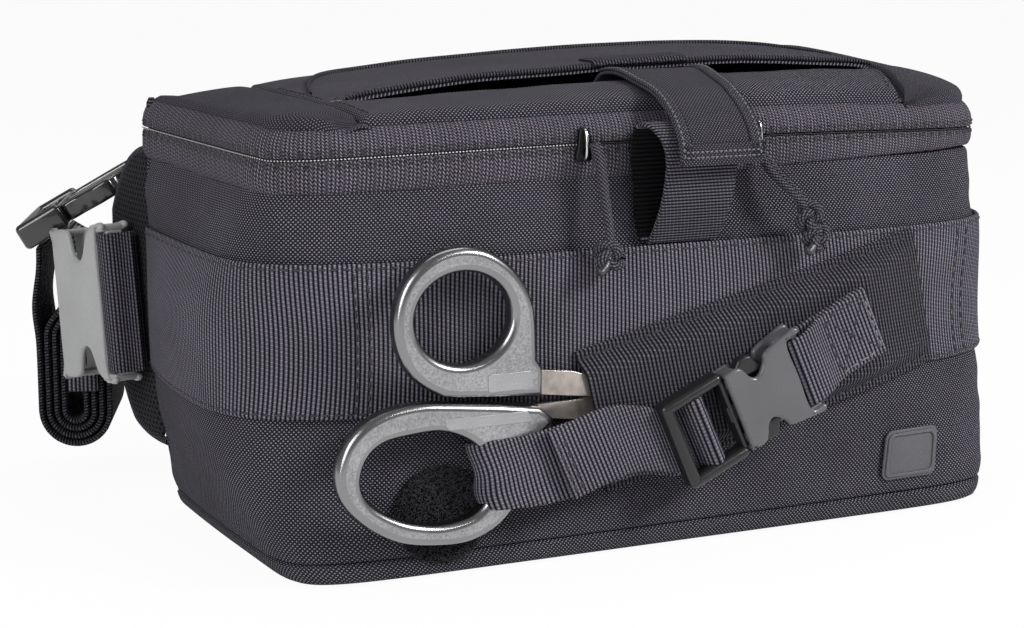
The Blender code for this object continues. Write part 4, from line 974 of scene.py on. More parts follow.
def cornerPanel(sign, u, v):
    start = lid["cornerFront"] if sign > 0 else frontY(lid["left"] - 3, bag["zip"]) + 1.5
    y = start + (lid["rear"] - start) * v
    near = (rightSeam(y) if sign > 0 else lid["left"]) + sign * 0.3
    outer = sign * max(abs(near) + 0.8, rimX(y) - 1.6)
    share = u if sign > 0 else 1 - u
    x = near + (outer - near) * share
    puff = lid["puffCorner"] * pillow(share, 5) * pillow(v, 8) + 0.5 * wrinkle((x, y, 12), 0.035, 37)
    roll = lid["roll"] * (max(0, (share - 0.88) / 0.12) ** 3 + max(0, 1 - v / 0.035) ** 3)
    return x, y, lidTop(x, y) + puff - lid["tuck"] * max(0, 1 - share / 0.04) - roll


def tabPoint(x, v):
    y = -14 + 11.6 * v
    return x, y, rearSurface(x, y) + 1.5 - 1.2 * max(0, 1 - v / 0.15) ** 2


def hingePoint(x, z):
    return x, bag["backSeam"] + 0.9 + 0.2 * wrinkle((x, z, 0), 0.05, 47), z


def makeLid():
    us = [0, 0.004, 0.008, 0.012, *np.linspace(0.02, 0.98, 100), 0.988, 0.992, 0.996, 1]
    vs = [0, 0.02, 0.04, 0.07, *np.linspace(0.1, 0.96, 24), 0.985, 1]
    corner = np.linspace(0, 1, 40), np.linspace(0, 1, 60) ** 1.4
    for name, node, finish, place, grid in (
        ("lid_front", "lid_front_panel", "fabric", frontPanel, (us, vs)),
        ("lid_rear", "lid_rear_panel", "fabric", rearPanel, (us, vs)),
        ("lid_patch_left", "lid_corner_left", "patch", partial(cornerPanel, -1), corner),
        ("lid_patch_right", "lid_corner_right", "patch", partial(cornerPanel, 1), corner),
    ):
        panel = clothSheet(name, gridOf(place, *grid), lid["cloth"], finish, outShare=0)
        dress(panel, "lid", node)
    for label, sign in (("left", -1), ("right", 1)):
        # the seam's folded cloth, below the patch and its neighbours
        strip = []
        for y in np.linspace(-53, bag["backSeam"] - 0.8, 60):
            seam = lid["left"] if sign < 0 else rightSeam(y)
            strip.append([(seam + s, y, lidTop(seam + s, y) - 2.5 - 0.05 * s * s) for s in (-4, -2, -0.7, 0.7, 2, 4)])
        dress(clothSheet("lid_seam_" + label, strip, 0.9, "patch", outShare=0, turned=True), "lid")
        x = sign * (bag["back"][2] - backBinding["radius"])
        post = [(x, backBinding["y"], z) for z in np.linspace(138, lidUnder(x, bag["backSeam"]) + 1.6, 8)]
        size = backBinding["radius"] * np.array([0.55, 0.95, 1, 1, 1, 1, 0.95, 0.5])
        dress(tubeMesh("lid_binding_" + label, post, size, "binding", twist=backBinding["twist"]), "lid")
    # corded bindings of the slit and of the rear seam
    slitX, rearX = np.linspace(-99.5, 110, 150), np.linspace(-104, 108, 180)
    slitY, opened = np.array([(slitRear(x) + 0.1, slitOpen(x)) for x in slitX]).T
    bow = 1 - abs((rearX - 2) / 106) ** 8
    for name, node, xs, ys, lift, size in (
        ("slit_cord", "slit_binding", slitX, slitY, 0.1, 0.4 + 0.7 * opened),
        ("rear_cord", "lid_rear_binding", rearX, 6 + 49.2 * bow, 0.35, 0.4 + 0.65 * bow),
    ):
        path = [(x, y, rearSurface(x, y) + lift) for x, y in zip(xs, ys)]
        dress(tubeMesh(name, path, size, "binding", twist=backBinding["twist"]), "lid", node)
    # lip of the slit: a thin folded edge in pale thread colour, a painted highlight along the fold
    lip = [np.array(frontPanel(u, 1.0)) + (0, 0.2, -0.2) for u in np.linspace(0.02, 0.98, 120)]
    dress(tubeMesh("slit_lip_highlight", lip, 0.42, "threadPale", 8), "lid")
    tab = gridOf(tabPoint, np.linspace(-6, 32, 24), np.linspace(0, 1, 12))
    dress(clothSheet("slit_tab", tab, 1.7, "binding"), "lid", "pocket_tab")
    lining = planGrid(bag["zip"], 3.4, lambda x, y: 142.4 + 0.4 * wrinkle((x, y, 0), 0.03, 41))
    dress(clothSheet("lid_inside", lining, 1.4, "lining"), "lid", "lid_lining")
    rearWall = []
    for x in np.linspace(-142, 142, 60):
        heights = np.linspace(136.8, lidUnder(-x, bag["backSeam"]) + 0.8, 10)
        rearWall.append([(-x, bag["backSeam"] - 0.3 + 0.3 * wrinkle((x, z, 0), 0.04, 43), z) for z in heights])
    dress(clothSheet("lid_back", rearWall, 3.0, "fabric", outShare=0, edge=0.7), "lid", "lid_rear_wall")
    # flat tape over the lid's hinge, which on the bag is sewn to the back and to the lid; here it rides on no body
    tape = gridOf(hingePoint, np.linspace(144.4, -144.4, 72), np.linspace(131, 142.4, 15))
    hingeTape = clothSheet("hinge_tape", tape, 0.9, "binding")
    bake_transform(hingeTape)
    for u in (0.02, 0.98):
        stitchOn("lid", frontPanel, [(u, 0.08), (u, 0.95)])
        stitchOn("lid", rearPanel, [(u, 0.1), (u, 0.7)])
    stitchOn("lid", rearPanel, [(0.03, 0.07), (0.97, 0.07)])


makeLid()
print("lid done")


# Front webbing
band = {"bottom": 53.4, "width": 50, "thick": 1.8, "lift": 0.5, "seams": (-113, -109, 121, 126), "edge": 1.6}
sheath = {"x": -40, "z": 70.5, "width": 50, "length": 141, "tilt": 13.4, "room": 5.2, "lift": 2.5, "thick": 1.6}
patch = {"x": -88, "z": 20.5, "radius": 16, "thick": 1.2, "lift": 0.3, "loops": 2200, "fibre": 0.11}
badge = {"x": 98, "z": 21.5, "halfX": 12, "halfZ": 8.8, "skew": 0.16}
sheathSeams = (((0.01, 0.945), (0.99, 0.945)), ((0.01, 0.05), (0.99, 0.05)), ((0.975, 0.04), (0.975, 0.96)),
               ((0.955, 0.04), (0.955, 0.96)))


def bandPoint(k, z, lift=0.0):
    ripple = 0.25 * wrinkle((*plan(k, z), z), 0.04, 51)
    return wallPoint(k, z, band["lift"] + lift + max(ripple, -0.2))


def sheathPoint(u, v):
    tilt, down = math.radians(sheath["tilt"]), sheath["width"] * (1 - v)
    x = sheath["x"] + math.cos(tilt) * sheath["length"] * u + math.sin(tilt) * down
    z = sheath["z"] + math.sin(tilt) * sheath["length"] * u - math.cos(tilt) * down
    arch = ease((min(v, 1 - v) - 0.055) / 0.12) * min(1, (1 - u) / 0.2) * (1 + 0.05 * wrinkle((x, 0, z), 0.03, 53))
    return frontPoint(x, z, sheath["lift"] + sheath["room"] * arch)


def patchPoint(u, v):
    # A square grid drawn into a disc
    lift = patch["lift"] + 0.15 * wrinkle((u * 60, v * 60, 0), 0.4, 61)
    u, v = 2 * u - 1, 2 * v - 1
    return frontPoint(patch["x"] + patch["radius"] * u * math.sqrt(1 - v * v / 2),
                      patch["z"] + patch["radius"] * v * math.sqrt(1 - u * u / 2), lift)


def bandColumn(x):
    # Column of the wall that stands at this x on the front
    low, high = -1.0, 1.0
    for _ in range(40):
        mid = (low + high) / 2
        low, high = (mid, high) if plan(mid, bag["belly"])[0] < x else (low, mid)
    return low


def makeFront():
    heights = band["bottom"] + band["width"] * np.array([0, 0.012, *np.linspace(0.05, 0.95, 11), 0.988, 1])
    middle = gridOf(bandPoint, wallColumns(*wall["columns"]), heights)
    dress(clothSheet("wall_band", middle, band["thick"], "webbing", outShare=1), "bag", "front_band")
    for x in band["seams"]:
        k = bandColumn(x)
        rise = np.linspace(band["bottom"] + 1, band["bottom"] + band["width"] - 1, 30)
        stitchAlong("bag", [bandPoint(k, z, band["thick"] + 0.1) for z in rise], (*wallOut(k, bag["belly"]), 0))
    for rise in (band["edge"], band["width"] - band["edge"]):
        columns = wallColumns(16, 200)
        points = [bandPoint(k, band["bottom"] + rise, band["thick"] + 0.05) for k in columns]
        stitchAlong("bag", points, [(*wallOut(k, bag["belly"]), 0) for k in columns])

    rows = [0, 0.012, 0.03, *np.linspace(0.05, 0.18, 9), *np.linspace(0.22, 0.78, 9), *np.linspace(0.82, 0.95, 9),
            0.97, 0.988, 1]
    middle = gridOf(sheathPoint, [0, 0.006, *np.linspace(0.02, 0.985, 80), 0.995, 1], rows)
    # the sleeve's webbing is darker, a painted shade
    dress(clothSheet("shears_sleeve", middle, sheath["thick"], "sleeve", outShare=1), "bag", "shears_sheath")
    for track in sheathSeams:
        stitchOn("bag", sheathPoint, track, sheath["thick"] + 0.05)

    marks = np.linspace(0, 1, 33)
    pile = clothSheet("pile_patch", gridOf(patchPoint, marks, marks), patch["thick"], "pile", outShare=1)
    dress(pile, "bag", "loop_patch")
    seeded = np.random.default_rng(7)
    verts, faces = [], []
    for _ in range(patch["loops"]):
        turn, reach = seeded.uniform(0, 2 * math.pi), math.sqrt(seeded.uniform(0, 1.04)) * patch["radius"]
        x, z = patch["x"] + reach * math.cos(turn), patch["z"] + reach * math.sin(turn)
        if z < 5:
            continue
        lean, tall = seeded.uniform(-1.5, 1.5, 2), seeded.uniform(0.5, 1.3)
        faces += ringQuads(len(verts), 4, 3, "adcb")
        for rise, drift in ((0, 0), (0.8, 0.3), (1, 0.75), (0.6, 1)):
            spot = np.array(frontPoint(x + lean[0] * drift, z + lean[1] * drift, 1.3 + tall * rise))
            for angle in np.arange(3) * 2 * math.pi / 3:
                ring = np.array((math.cos(angle), 0.3 * math.sin(angle), math.sin(angle)))
                verts.append(spot + patch["fibre"] * ring)
    dress(finishMesh("pile_loops", verts, faces, None, "fibre", sharpFrom["round"]), "bag")

    def badgeOutline(inset, radius):
        x, z, halfX, halfZ = badge["x"], badge["z"], badge["halfX"] - inset, badge["halfZ"] - inset
        return roundBox(x - halfX, z - halfZ, x + halfX, z + halfZ, radius, badge["skew"])

    plates = [([badgeOutline(0, 3.0)], 0.3, 1.3, 0.35),
              ([badgeOutline(1.0, 2.4), badgeOutline(2.1, 2.4)], 1.0, 1.9, 0.3)]
    dress(platesPiece("bare_badge", plates, frontPoint, "rubber"), "bag", "badge_patch")


makeFront()
print("front done")


# Side-release buckles
webThick = 1.6


def clipSizes(strap, body, frame):
    return {"strap": strap, "body": body, "frame": frame, "thick": 7 + 0.1 * strap, "arm": 7.5 + 0.42 * strap,
            "half": strap / 2 + 4, "bar": 3.2, "recess": 2.3}


def barLoop(size):
    # Side view of the webbing round the buckle's bar
    edge, out = size["body"] - size["bar"], webThick / 2 + 0.5
    low, high = size["recess"], size["thick"] - size["recess"]
    turns = np.radians(np.linspace(270, 180, 6))
    path = [(edge + out * math.cos(t), low + out * math.sin(t)) for t in turns]
    return path + [(edge + out * math.cos(t), high - out * math.sin(t)) for t in turns[::-1]]


def inFrame(matrix, flat):
    return np.array([matrix @ Vector((x, 0, h)) for x, h in flat])


def clipPiece(name, matrix, plates, finish):
    return platesPiece(name, plates, lambda x, y, h: matrix @ Vector((x, y, h)), finish)


def boxPlate(x0, y0, x1, y1, radius, low, high, rim):
    return [roundBox(x0, min(y0, y1), x1, max(y0, y1), radius)], low, high, rim


def clipBody(name, matrix, size, finish):
    # Two waisted shells with rails between them, open at the mouth and at both sides
    half, body, thick, recess = size["half"], size["body"], size["thick"], size["recess"] + 0.2
    waist, face, grow = size["arm"] * 0.62, body - 5.7, size["arm"] / 18
    upper = [(0.2, half - 3.2), (1.2, half - 1.9), (waist - 5.4 * grow, half - 1.9), (waist - 3.4 * grow, half - 4),
             (waist - 2 * grow, half - 7 * grow), (waist + 0.2, half - 8.4 * grow),
             (waist + 2.4 * grow, half - 7.4 * grow), (waist + 4.6 * grow, half - 4.8),
             (waist + 6.4 * grow, half - 2.2), (body - 5, half - 0.5), (body - 1.4, half),
             (body + 0.2, half - 1.2), (body - 0.6, half - 2.7), (face, half - 3.6)]
    outline = rounded(upper + [(face, 0)] + [(x, -y) for x, y in reversed(upper)] + [(0.2, 0)], 4)
    plates = [([outline], 0, 2.5, 1.15), ([outline], thick - 2.5, thick, 1.15)]
    for side in (-1, 1):
        plates += [
            boxPlate(0.5, side * (half - 4), waist - 5.6 * grow, side * (half - 2), 0.8, 1.2, thick - 1.2, 0.7),
            boxPlate(body - 10.5, side * (half - 3.6), body - 0.6, side * (half - 0.8), 1.0, 1.2, thick - 1.2, 0.9),
        ]
    plates += [
        boxPlate(face - 2.6, -half + 3, face - 0.2, half - 3, 0.8, 1.2, thick - 1.2, 0.5),
        boxPlate(body - size["bar"] + 0.2, -half + 3, body - 0.2, half - 3, 1.0, recess, thick - recess, 1.0),
    ]
    return clipPiece(name, matrix, plates, finish)


def makeMale(name, matrix, size, finish, arms):
    # Frame with its bars and tongue, and two sprung arms
    half, back, thick, arm = size["half"], size["frame"], size["thick"], size["arm"]
    plates = [boxPlate(-back, 0.3 - half, 4.4 - back, half - 0.3, 2.2, 1.2, thick - 1.0, 2.0)]
    for side in (-1, 1):
        plates.append(boxPlate(-back, side * (half - 0.3), -0.2, side * (half - 4.3), 2.0, 1.2, thick - 1.0, 1.9))
    plates += [
        boxPlate(-1.9, 3 - half, -0.2, half - 3, 0.8, 2, thick - 2, 0.7),
        boxPlate(-0.55 * back, 3.4 - half, -0.55 * back + 3, half - 3.4, 1.0, 2.6, thick - 2.6, 1.0),
        boxPlate(-2.5, -3.4, 0.9 * arm, 3.4, 1.5, 2.5, thick - 2.5, 0.6),
    ]
    dress(clipPiece(name + "_clip_frame", matrix, plates, finish), "bag", name + "_buckle_male")
    edge = half - 4
    shape = [(0.02, edge - 4.2), (0.02, edge - 0.6), (0.2, edge - 0.3), (0.3, edge + 0.7), (0.45, edge + 3.0),
             (0.6, edge + 3.4), (0.72, edge + 2.7), (0.8, edge), (0.96, edge - 2.4), (0.96, edge - 3.6),
             (0.8, edge - 4), (0.4, edge - 3.4)]
    for label, side in arms:
        outline = rounded([(share * arm, side * y) for share, y in shape[::side]], 5)
        piece = clipPiece(f"{name}_clip_arm_{label}", matrix, [([outline], 2.5, thick - 2.5, 1.2)], finish)
        dress(piece, f"{name}_arm_{label}", f"{name}_buckle_arm_{label}")


# Front buckle and its straps
buckle = {"x": 13.5, "z": 47.5, "lift": 10.2, "tilt": 24.5, "turnX": -72.2, **clipSizes(25, 32, 25)}
handle = {"x": -82.5, "z": 55.5, "lift": 5.5, "thick": 7.5, "rim": 2.6}
handle["back"] = frontY(handle["x"], handle["z"]) - handle["lift"]


def strapGrid(path, crease=0.0):
    # Rows of x, z, lift, share of the width and lean, laid over the bag's front
    grid = []
    for x, z, lift, share, lean in path:
        line = []
        for v in margins(12):
            half = buckle["strap"] / 2 * share * (2 * v - 1)
            spotX, spotZ = x - half * math.sin(lean), z + half * math.cos(lean)
            cup = crease * math.cos((2 * v - 1.15) * 4.2) * (1 - share) * 9
            line.append(frontPoint(spotX, spotZ, lift + cup))
        grid.append(line)
    return grid


def makeStraps():
    c, s = math.cos(math.radians(buckle["tilt"])), math.sin(math.radians(buckle["tilt"]))
    matrix = Matrix.Translation(frontPoint(buckle["x"], buckle["z"], buckle["lift"]))
    matrix = matrix @ Matrix(((c, -s, 0), (0, 0, -1), (s, c, 0))).to_4x4()
    up, out = [np.array(matrix.to_3x3() @ Vector(way)) for way in ((0, 1, 0), (0, 0, 1))]
    body, wide, thick, lift, loop = buckle["body"], buckle["strap"], buckle["thick"], buckle["lift"], barLoop(buckle)
    dress(clipBody("front_clip_body", matrix, buckle, "plastic"), "bag", "front_buckle_female")
    makeMale("front", matrix, buckle, "plasticDark", (("upper", 1), ("lower", -1)))
    low = -lift + band["thick"] + 0.72 + sheath["room"] + 1.5 * webThick + 0.8
    high = low + webThick + 0.3
    under = [(body + 33, low), (body + 23, low), (body + 12, low), (body + 4, (low + loop[0][1]) / 2),
             (body, loop[0][1])]
    over = through([(body, loop[-1][1]), (body + 5, loop[-1][1] - 1.4), (body + 11, high + 1.2),
                    (body + 17, high + 0.1), (body + 25, high), (body + 33, high)], 6)
    flat = evenly([*through(under, 6), *loop, *over], 0.9)
    dress(ribbon("anchor_strap", inFrame(matrix, flat), up, wide, webThick, turned=True), "bag",
          "buckle_anchor_strap")
    # box and cross sewn through both layers
    a, b, c, d = [np.array((body + x, y)) for x, y in ((13, -10.5), (31, -10.5), (31, 10.5), (13, 10.5))]
    for index, (start, end) in enumerate(((a, b), (b, c), (c, d), (d, a), (a, c), (b, d))):
        points = []
        for x, y in start + (end - start) * np.linspace(0, 1, 24)[:, None]:
            h = float(np.interp(x, *over.T)) + webThick / 2 + 0.05
            points.append(matrix @ Vector((x, y, h)))
        stitchAlong("bag", points, out, finish="threadPale" if index < 2 else "thread")

    # strap from the male frame, round the shears' finger loop and back under itself
    turnX = buckle["turnX"]
    top = frontY(turnX, 33.5) - handle["back"] + handle["thick"] + 0.6 + webThick / 2
    bottom = 0.3 + webThick / 2
    middle, radius = (top + bottom) / 2, (top - bottom) / 2
    x, _, z = matrix @ Vector((-buckle["frame"] - 0.7, 0, thick / 2))
    bend = 0.71 * radius
    stations = [
        (x + 7.6, z + 3.6, lift + 0.4, 1, 0.43), (x + 3.6, z + 1.7, lift + 0.2, 1, 0.42),
        (x - 2, z + 1.6, lift + 0.6, 1, 0.4), (x - 14, z + 3.4, lift + 1.0, 1, 0.39),
        (x - 26, z + 2.6, top + 0.8, 1, 0.39), (x - 42, z - 0.9, top + 0.4, 1, 0.37),
        (turnX + 10, 34.4, top, 0.97, 0.3), (turnX, 34.2, top, 0.94, 0.25),
        (turnX - bend, 33.6, middle + bend, 0.9, 0.22), (turnX - radius, 33.4, middle, 0.86, 0.2),
        (turnX - bend, 33, middle - bend, 0.82, 0.15), (turnX, 32.6, bottom, 0.8, 0.1),
        (turnX + 18, 32, bottom, 0.8, 0.0),
    ]
    grid = strapGrid(evenly(through(stations, 8), 1.0), 1.2)
    dress(clothSheet("holding_strap", grid, webThick, "webbing", turned=True), "bag", "shears_strap")
    # the strap comes up over the frame's inner bar
    bar = -0.55 * buckle["frame"] + 1.5
    turned = through([(bar - 5.2, 0.6), (bar - 3.4, 2.6), (bar - 2.2, 5.6), (bar, thick - 1.5), (bar + 2.4, 6),
                      (bar + 3.4, 3), (bar + 4.6, 1)], 6)
    dress(ribbon("strap_turn", inFrame(matrix, evenly(turned, 0.8)), up, wide, webThick), "bag")
    # its free end lies doubled on top, with a sewn hem
    tail = [(x + 2.5, z + 1.1, lift + 2.0, 1, 0.42), (x - 4, z + 3.6, lift + 3.0, 1, 0.39),
            (x - 16, z + 5.2, lift + 3.4, 1, 0.39), (x - 26, z + 4.2, top + 3.2, 1, 0.4),
            (x - 42.5, z - 0.8, top + 4.0, 1, 0.4)]
    tailPath = evenly(through(tail, 10), 0.9)
    dress(clothSheet("strap_tail", strapGrid(tailPath), webThick, "webbing", turned=True), "bag")
    for back in (2, 5):
        x, z, base, _, lean = tailPath[-1 - back]
        points = []
        for half in wide / 2 * (2 * np.linspace(0.06, 0.94, 20) - 1):
            points.append(frontPoint(x - half * math.sin(lean), z + half * math.cos(lean),
                                     base + webThick / 2 + 0.05))
        stitchAlong("bag", points, (0, -1, 0))


makeStraps()
print("straps done")


# Bandage shears: satin faces between polished rims
shears = {
    "thumbHole": (-83.5, 86.1, 16.9, 14.9),
    "thumbNeck": ((-57.4, 71), (-55.3, 68), (-55.3, 58.4), (-60, 58.5), (-86, 60.4)),
    "thumbArc": ((-91, 61.2), (-97, 64.6), (-102, 69), (-105.5, 75.3), (-107.2, 82), (-107.1, 89), (-104.8, 96.6),
                 (-100, 102.9), (-92.7, 107.5), (-84, 109.1), (-75, 107.4), (-67, 102.2), (-61.4, 95.3),
                 (-58.6, 88.5), (-57.7, 82)),
    "thumbPlate": roundBox(-75.5, 61.6, -59.8, 67.4, 1.2),
    "fingerNeck": ((-60.5, 42), (-54, 46), (-51.4, 48.6), (-51.4, 51), (-56.4, 55.2), (-72, 57.4)),
    "fingerArc": ((-88.2, 59.2), (-97, 60), (-105.6, 59.5), (-113, 57.6), (-119.4, 54.2), (-124.5, 48.6),
                  (-127, 42), (-127.4, 36.8), (-125.8, 30.9), (-121.6, 25.2), (-114.4, 19.3), (-105.3, 14.8),
                  (-94.1, 12.7), (-82.6, 12.5), (-73.5, 15.5), (-67.5, 20), (-63.4, 26), (-61.2, 34)),
    "fingerHole": ((-119.2, 37.4), (-116.8, 44), (-111.2, 48.2), (-102.4, 49.6), (-92.5, 50), (-85, 47.8),
                   (-79, 44), (-75.2, 39), (-73.8, 33), (-74.8, 27), (-78.4, 22.6), (-84.4, 20.3), (-93.2, 19.7),
                   (-104, 22), (-113.5, 27), (-118, 32)),
    "fingerPlate": roundBox(-90.5, 50.6, -60.5, 54.2, 1.0, -0.4),
    "thumbBlade": ((-58, 66.8), (-43, 65.0), (-37.5, 63.4), (-20, 63.6), (10, 69.5), (40, 74), (56.5, 74.8),
                   (56.5, 73.2), (20, 64), (-10, 57.5), (-30, 55), (-58, 58.6)),
    "fingerBlade": ((-56, 54.6), (-41, 54.9), (-20, 57), (20, 65.5), (56.5, 74.9), (56.5, 73), (20, 61),
                    (-20, 50.5), (-40, 48.2), (-50, 49.5), (-56, 51)),
}


def onHandle(x, z, h):
    return x, handle["back"] - h, z


def makeShears():
    x, z, halfX, halfZ = shears["thumbHole"]
    oval = [(x + halfX * math.cos(t), z + halfZ * math.sin(t)) for t in np.radians(np.linspace(0, 355, 72))]
    thick = handle["thick"]
    for label, body, hole, level, detail in (
        ("thumb", "shears_thumb_half", oval, 1.6, 6), ("finger", "bag", rounded(shears["fingerHole"], 5), -0.1, 5),
    ):
        outline = [*shears[label + "Neck"], *through(shears[label + "Arc"], detail)]
        loop = platesPiece(label + "_loop", [([outline, hole], 0, thick, handle["rim"])], onHandle, "polish", "satin")
        dress(loop, body, label + "_handle")
        # bare plate sunk in the neck or in the finger bar
        plate = ([shears[label + "Plate"]], thick - 0.3, thick + 0.25, 0.12)
        dress(platesPiece(label + "_plate", [plate], onHandle, "plate"), body)
        blade = ([shears[label + "Blade"]], level, level + 1.4, 0.25)
        dress(platesPiece("blade_" + label, [blade], onHandle, "steel"), body, label + "_blade")


makeShears()
print("shears done")


# Closure flap over the zip, and the loop it hangs over
closure = {
    "flapX": 12, "drift": -3.2, "flapRoot": 38, "flapEnd": 31, "flapThick": 1.8, "loopX": 6, "loopWidth": 27,
    "loopReach": 15, "loopTop": 8.4, "loopShadeFrom": 0.56, "root": 3.1, "reach": 20, "drop": 19.5, "narrowFrom": 20,
    "narrowRun": 40,
    "rise": ((0.03, 0.0), (0.15, 1.4), (0.37, 2.5), (0.68, 2.6)),
    "fall": ((0.05, 0.16), (0.55, -0.14), (0.875, -0.54), (1, -1)),
    # how far out, how high up and how far sideways the loop stands
    "loop": ((0.086, 0, -3), (0.4, 0.15, -2.5), (0.75, 0.375, -2), (1, 0.675, -2), (1, 0.875, -4), (0.786, 1, -8),
             (0.5, 0.962, -10), (0.357, 0.75, -10), (0.3, 0.5, -9), (0.157, 0.25, -8), (0.1, 0.02, -6)),
}
sideways = np.array((1, 0, 0))


def makeFlap():
    flapX, slit, front, thick = closure["flapX"], lid["slit"], lid["front"], closure["flapThick"]
    rootY, rim = slit - closure["root"], lidTop(flapX, -front)
    points = [(slit + 1.2, lidTop(flapX, slit) - 4.6), (slit - 1.2, lidTop(flapX, slit) - 2.6)]
    for share, lift in closure["rise"]:
        y = rootY - share * (front + rootY)
        points.append((y, lidTop(flapX, y) + lift))
    points += [(-front - out * closure["reach"], rim + up * closure["drop"]) for out, up in closure["fall"]]
    flat = evenly(through(points, 8), 0.9)
    narrow = np.clip((-flat[:, 0] - closure["narrowFrom"]) / closure["narrowRun"], 0, 1)
    path = np.stack([flapX + closure["drift"] * narrow, *flat.T], 1)
    wide = closure["flapRoot"] + (closure["flapEnd"] - closure["flapRoot"]) * narrow
    flap = ribbon("zip_flap", path, sideways, wide, thick, "flap", cells=20, turned=True)
    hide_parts("closure_flap")
    behind, ahead = [(flapX * mm, (rootY + shift) * mm, lidTop(flapX, rootY) * mm) for shift in (1.5, -1.5)]
    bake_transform(flap)
    tangent = unit(np.gradient(flat, axis=0))
    normals = np.stack([np.zeros(len(flat)), tangent[:, 1], -tangent[:, 0]], 1)
    skin = path + normals * (thick / 2 + 0.35)
    first = next(i for i, (y, _) in enumerate(flat) if y < rootY - 2)
    for label, sign in (("left", -1), ("right", 1)):
        # narrow tape bound round each edge, sewn twice
        lanes = {inset: skin + np.outer(sign * (wide / 2 - inset), sideways) for inset in (1.9, 0.9, 3.0)}
        tape = ribbon("flap_edge_" + label, lanes[1.9][first:-1], sideways, 4.2, 0.9, "patch", cells=4, turned=True)
        dress(tape, "flap")
        for inset, finish in ((0.9, "threadPale"), (3.0, "thread")):
            line = lanes[inset] + normals * 0.4
            stitchAlong("flap", line[first:-2], normals[first:-2], 1.4, 0.3, finish, 0.7)
    dress(ribbon("flap_hem", skin[-9:], sideways, wide[-9:] - 0.4, 0.9, "flap", cells=16, turned=True), "flap")
    half = wide[-1] / 2 - 1.2
    for row in (-4, -6):
        line = skin[row] + normals[row] * 0.45 + np.outer(np.linspace(-half, half, 20), sideways)
        stitchAlong("flap", line, normals[row], 1.2, 0.3, "threadPale", 0.6)


def makeLoop():
    start, x = band["bottom"] + band["width"] + 1, closure["loopX"]
    points = []
    for out, rise, lean in closure["loop"]:
        z = start + rise * (bag["zip"] + closure["loopTop"] - start)
        points.append((x + lean, frontY(x, z) - out * closure["loopReach"], z))
    path = evenly(through(points, 8), 0.8)
    loop = ribbon("zip_loop", path, sideways, closure["loopWidth"], webThick, "loop")
    # painted shade: the inner turn gets a much darker copy of the webbing
    loop.data.materials.append(materials["shaded"])
    for face in loop.data.polygons:
        nearest = np.argmin(np.linalg.norm(path[:, 1:] - np.array(face.center[1:]) / mm, axis=1))
        face.material_index = int(nearest > closure["loopShadeFrom"] * len(path))
    dress(loop, "bag", "closure_loop")


makeFlap()
makeLoop()
print("closure done")


# Waist belt
belt = {
    "width": 50, "thick": 2, "body": 37, "frame": 19, "front": 109, "turn": math.radians(-22),
    "lean": math.radians(-30), "rollX": -160, "rollZ": 42, "radius": 13.5, "straight": 14, "pitch": 2.9,
    "turns": 4, "lead": 56,
}
beltClip = clipSizes(belt["width"], belt["body"], belt["frame"])
wing = {"x": 144, "root": 58.2, "length": 42, "pad": 6, "middle": 78, "flare": 1.5, "strapEnd": 0.2, "tall": 53,
        "taper": 26}


def rollPath():
    path = []
    for halfTurn in range(2 * belt["turns"]):
        centre = belt["rollZ"] + (belt["straight"] if halfTurn % 2 else -belt["straight"])
        for turn in np.linspace(halfTurn, halfTurn + 1, 17) * math.pi:
            radius = belt["radius"] - belt["pitch"] * turn / (2 * math.pi)
            path.append((-radius * math.cos(turn), centre - radius * math.sin(turn)))
    return path


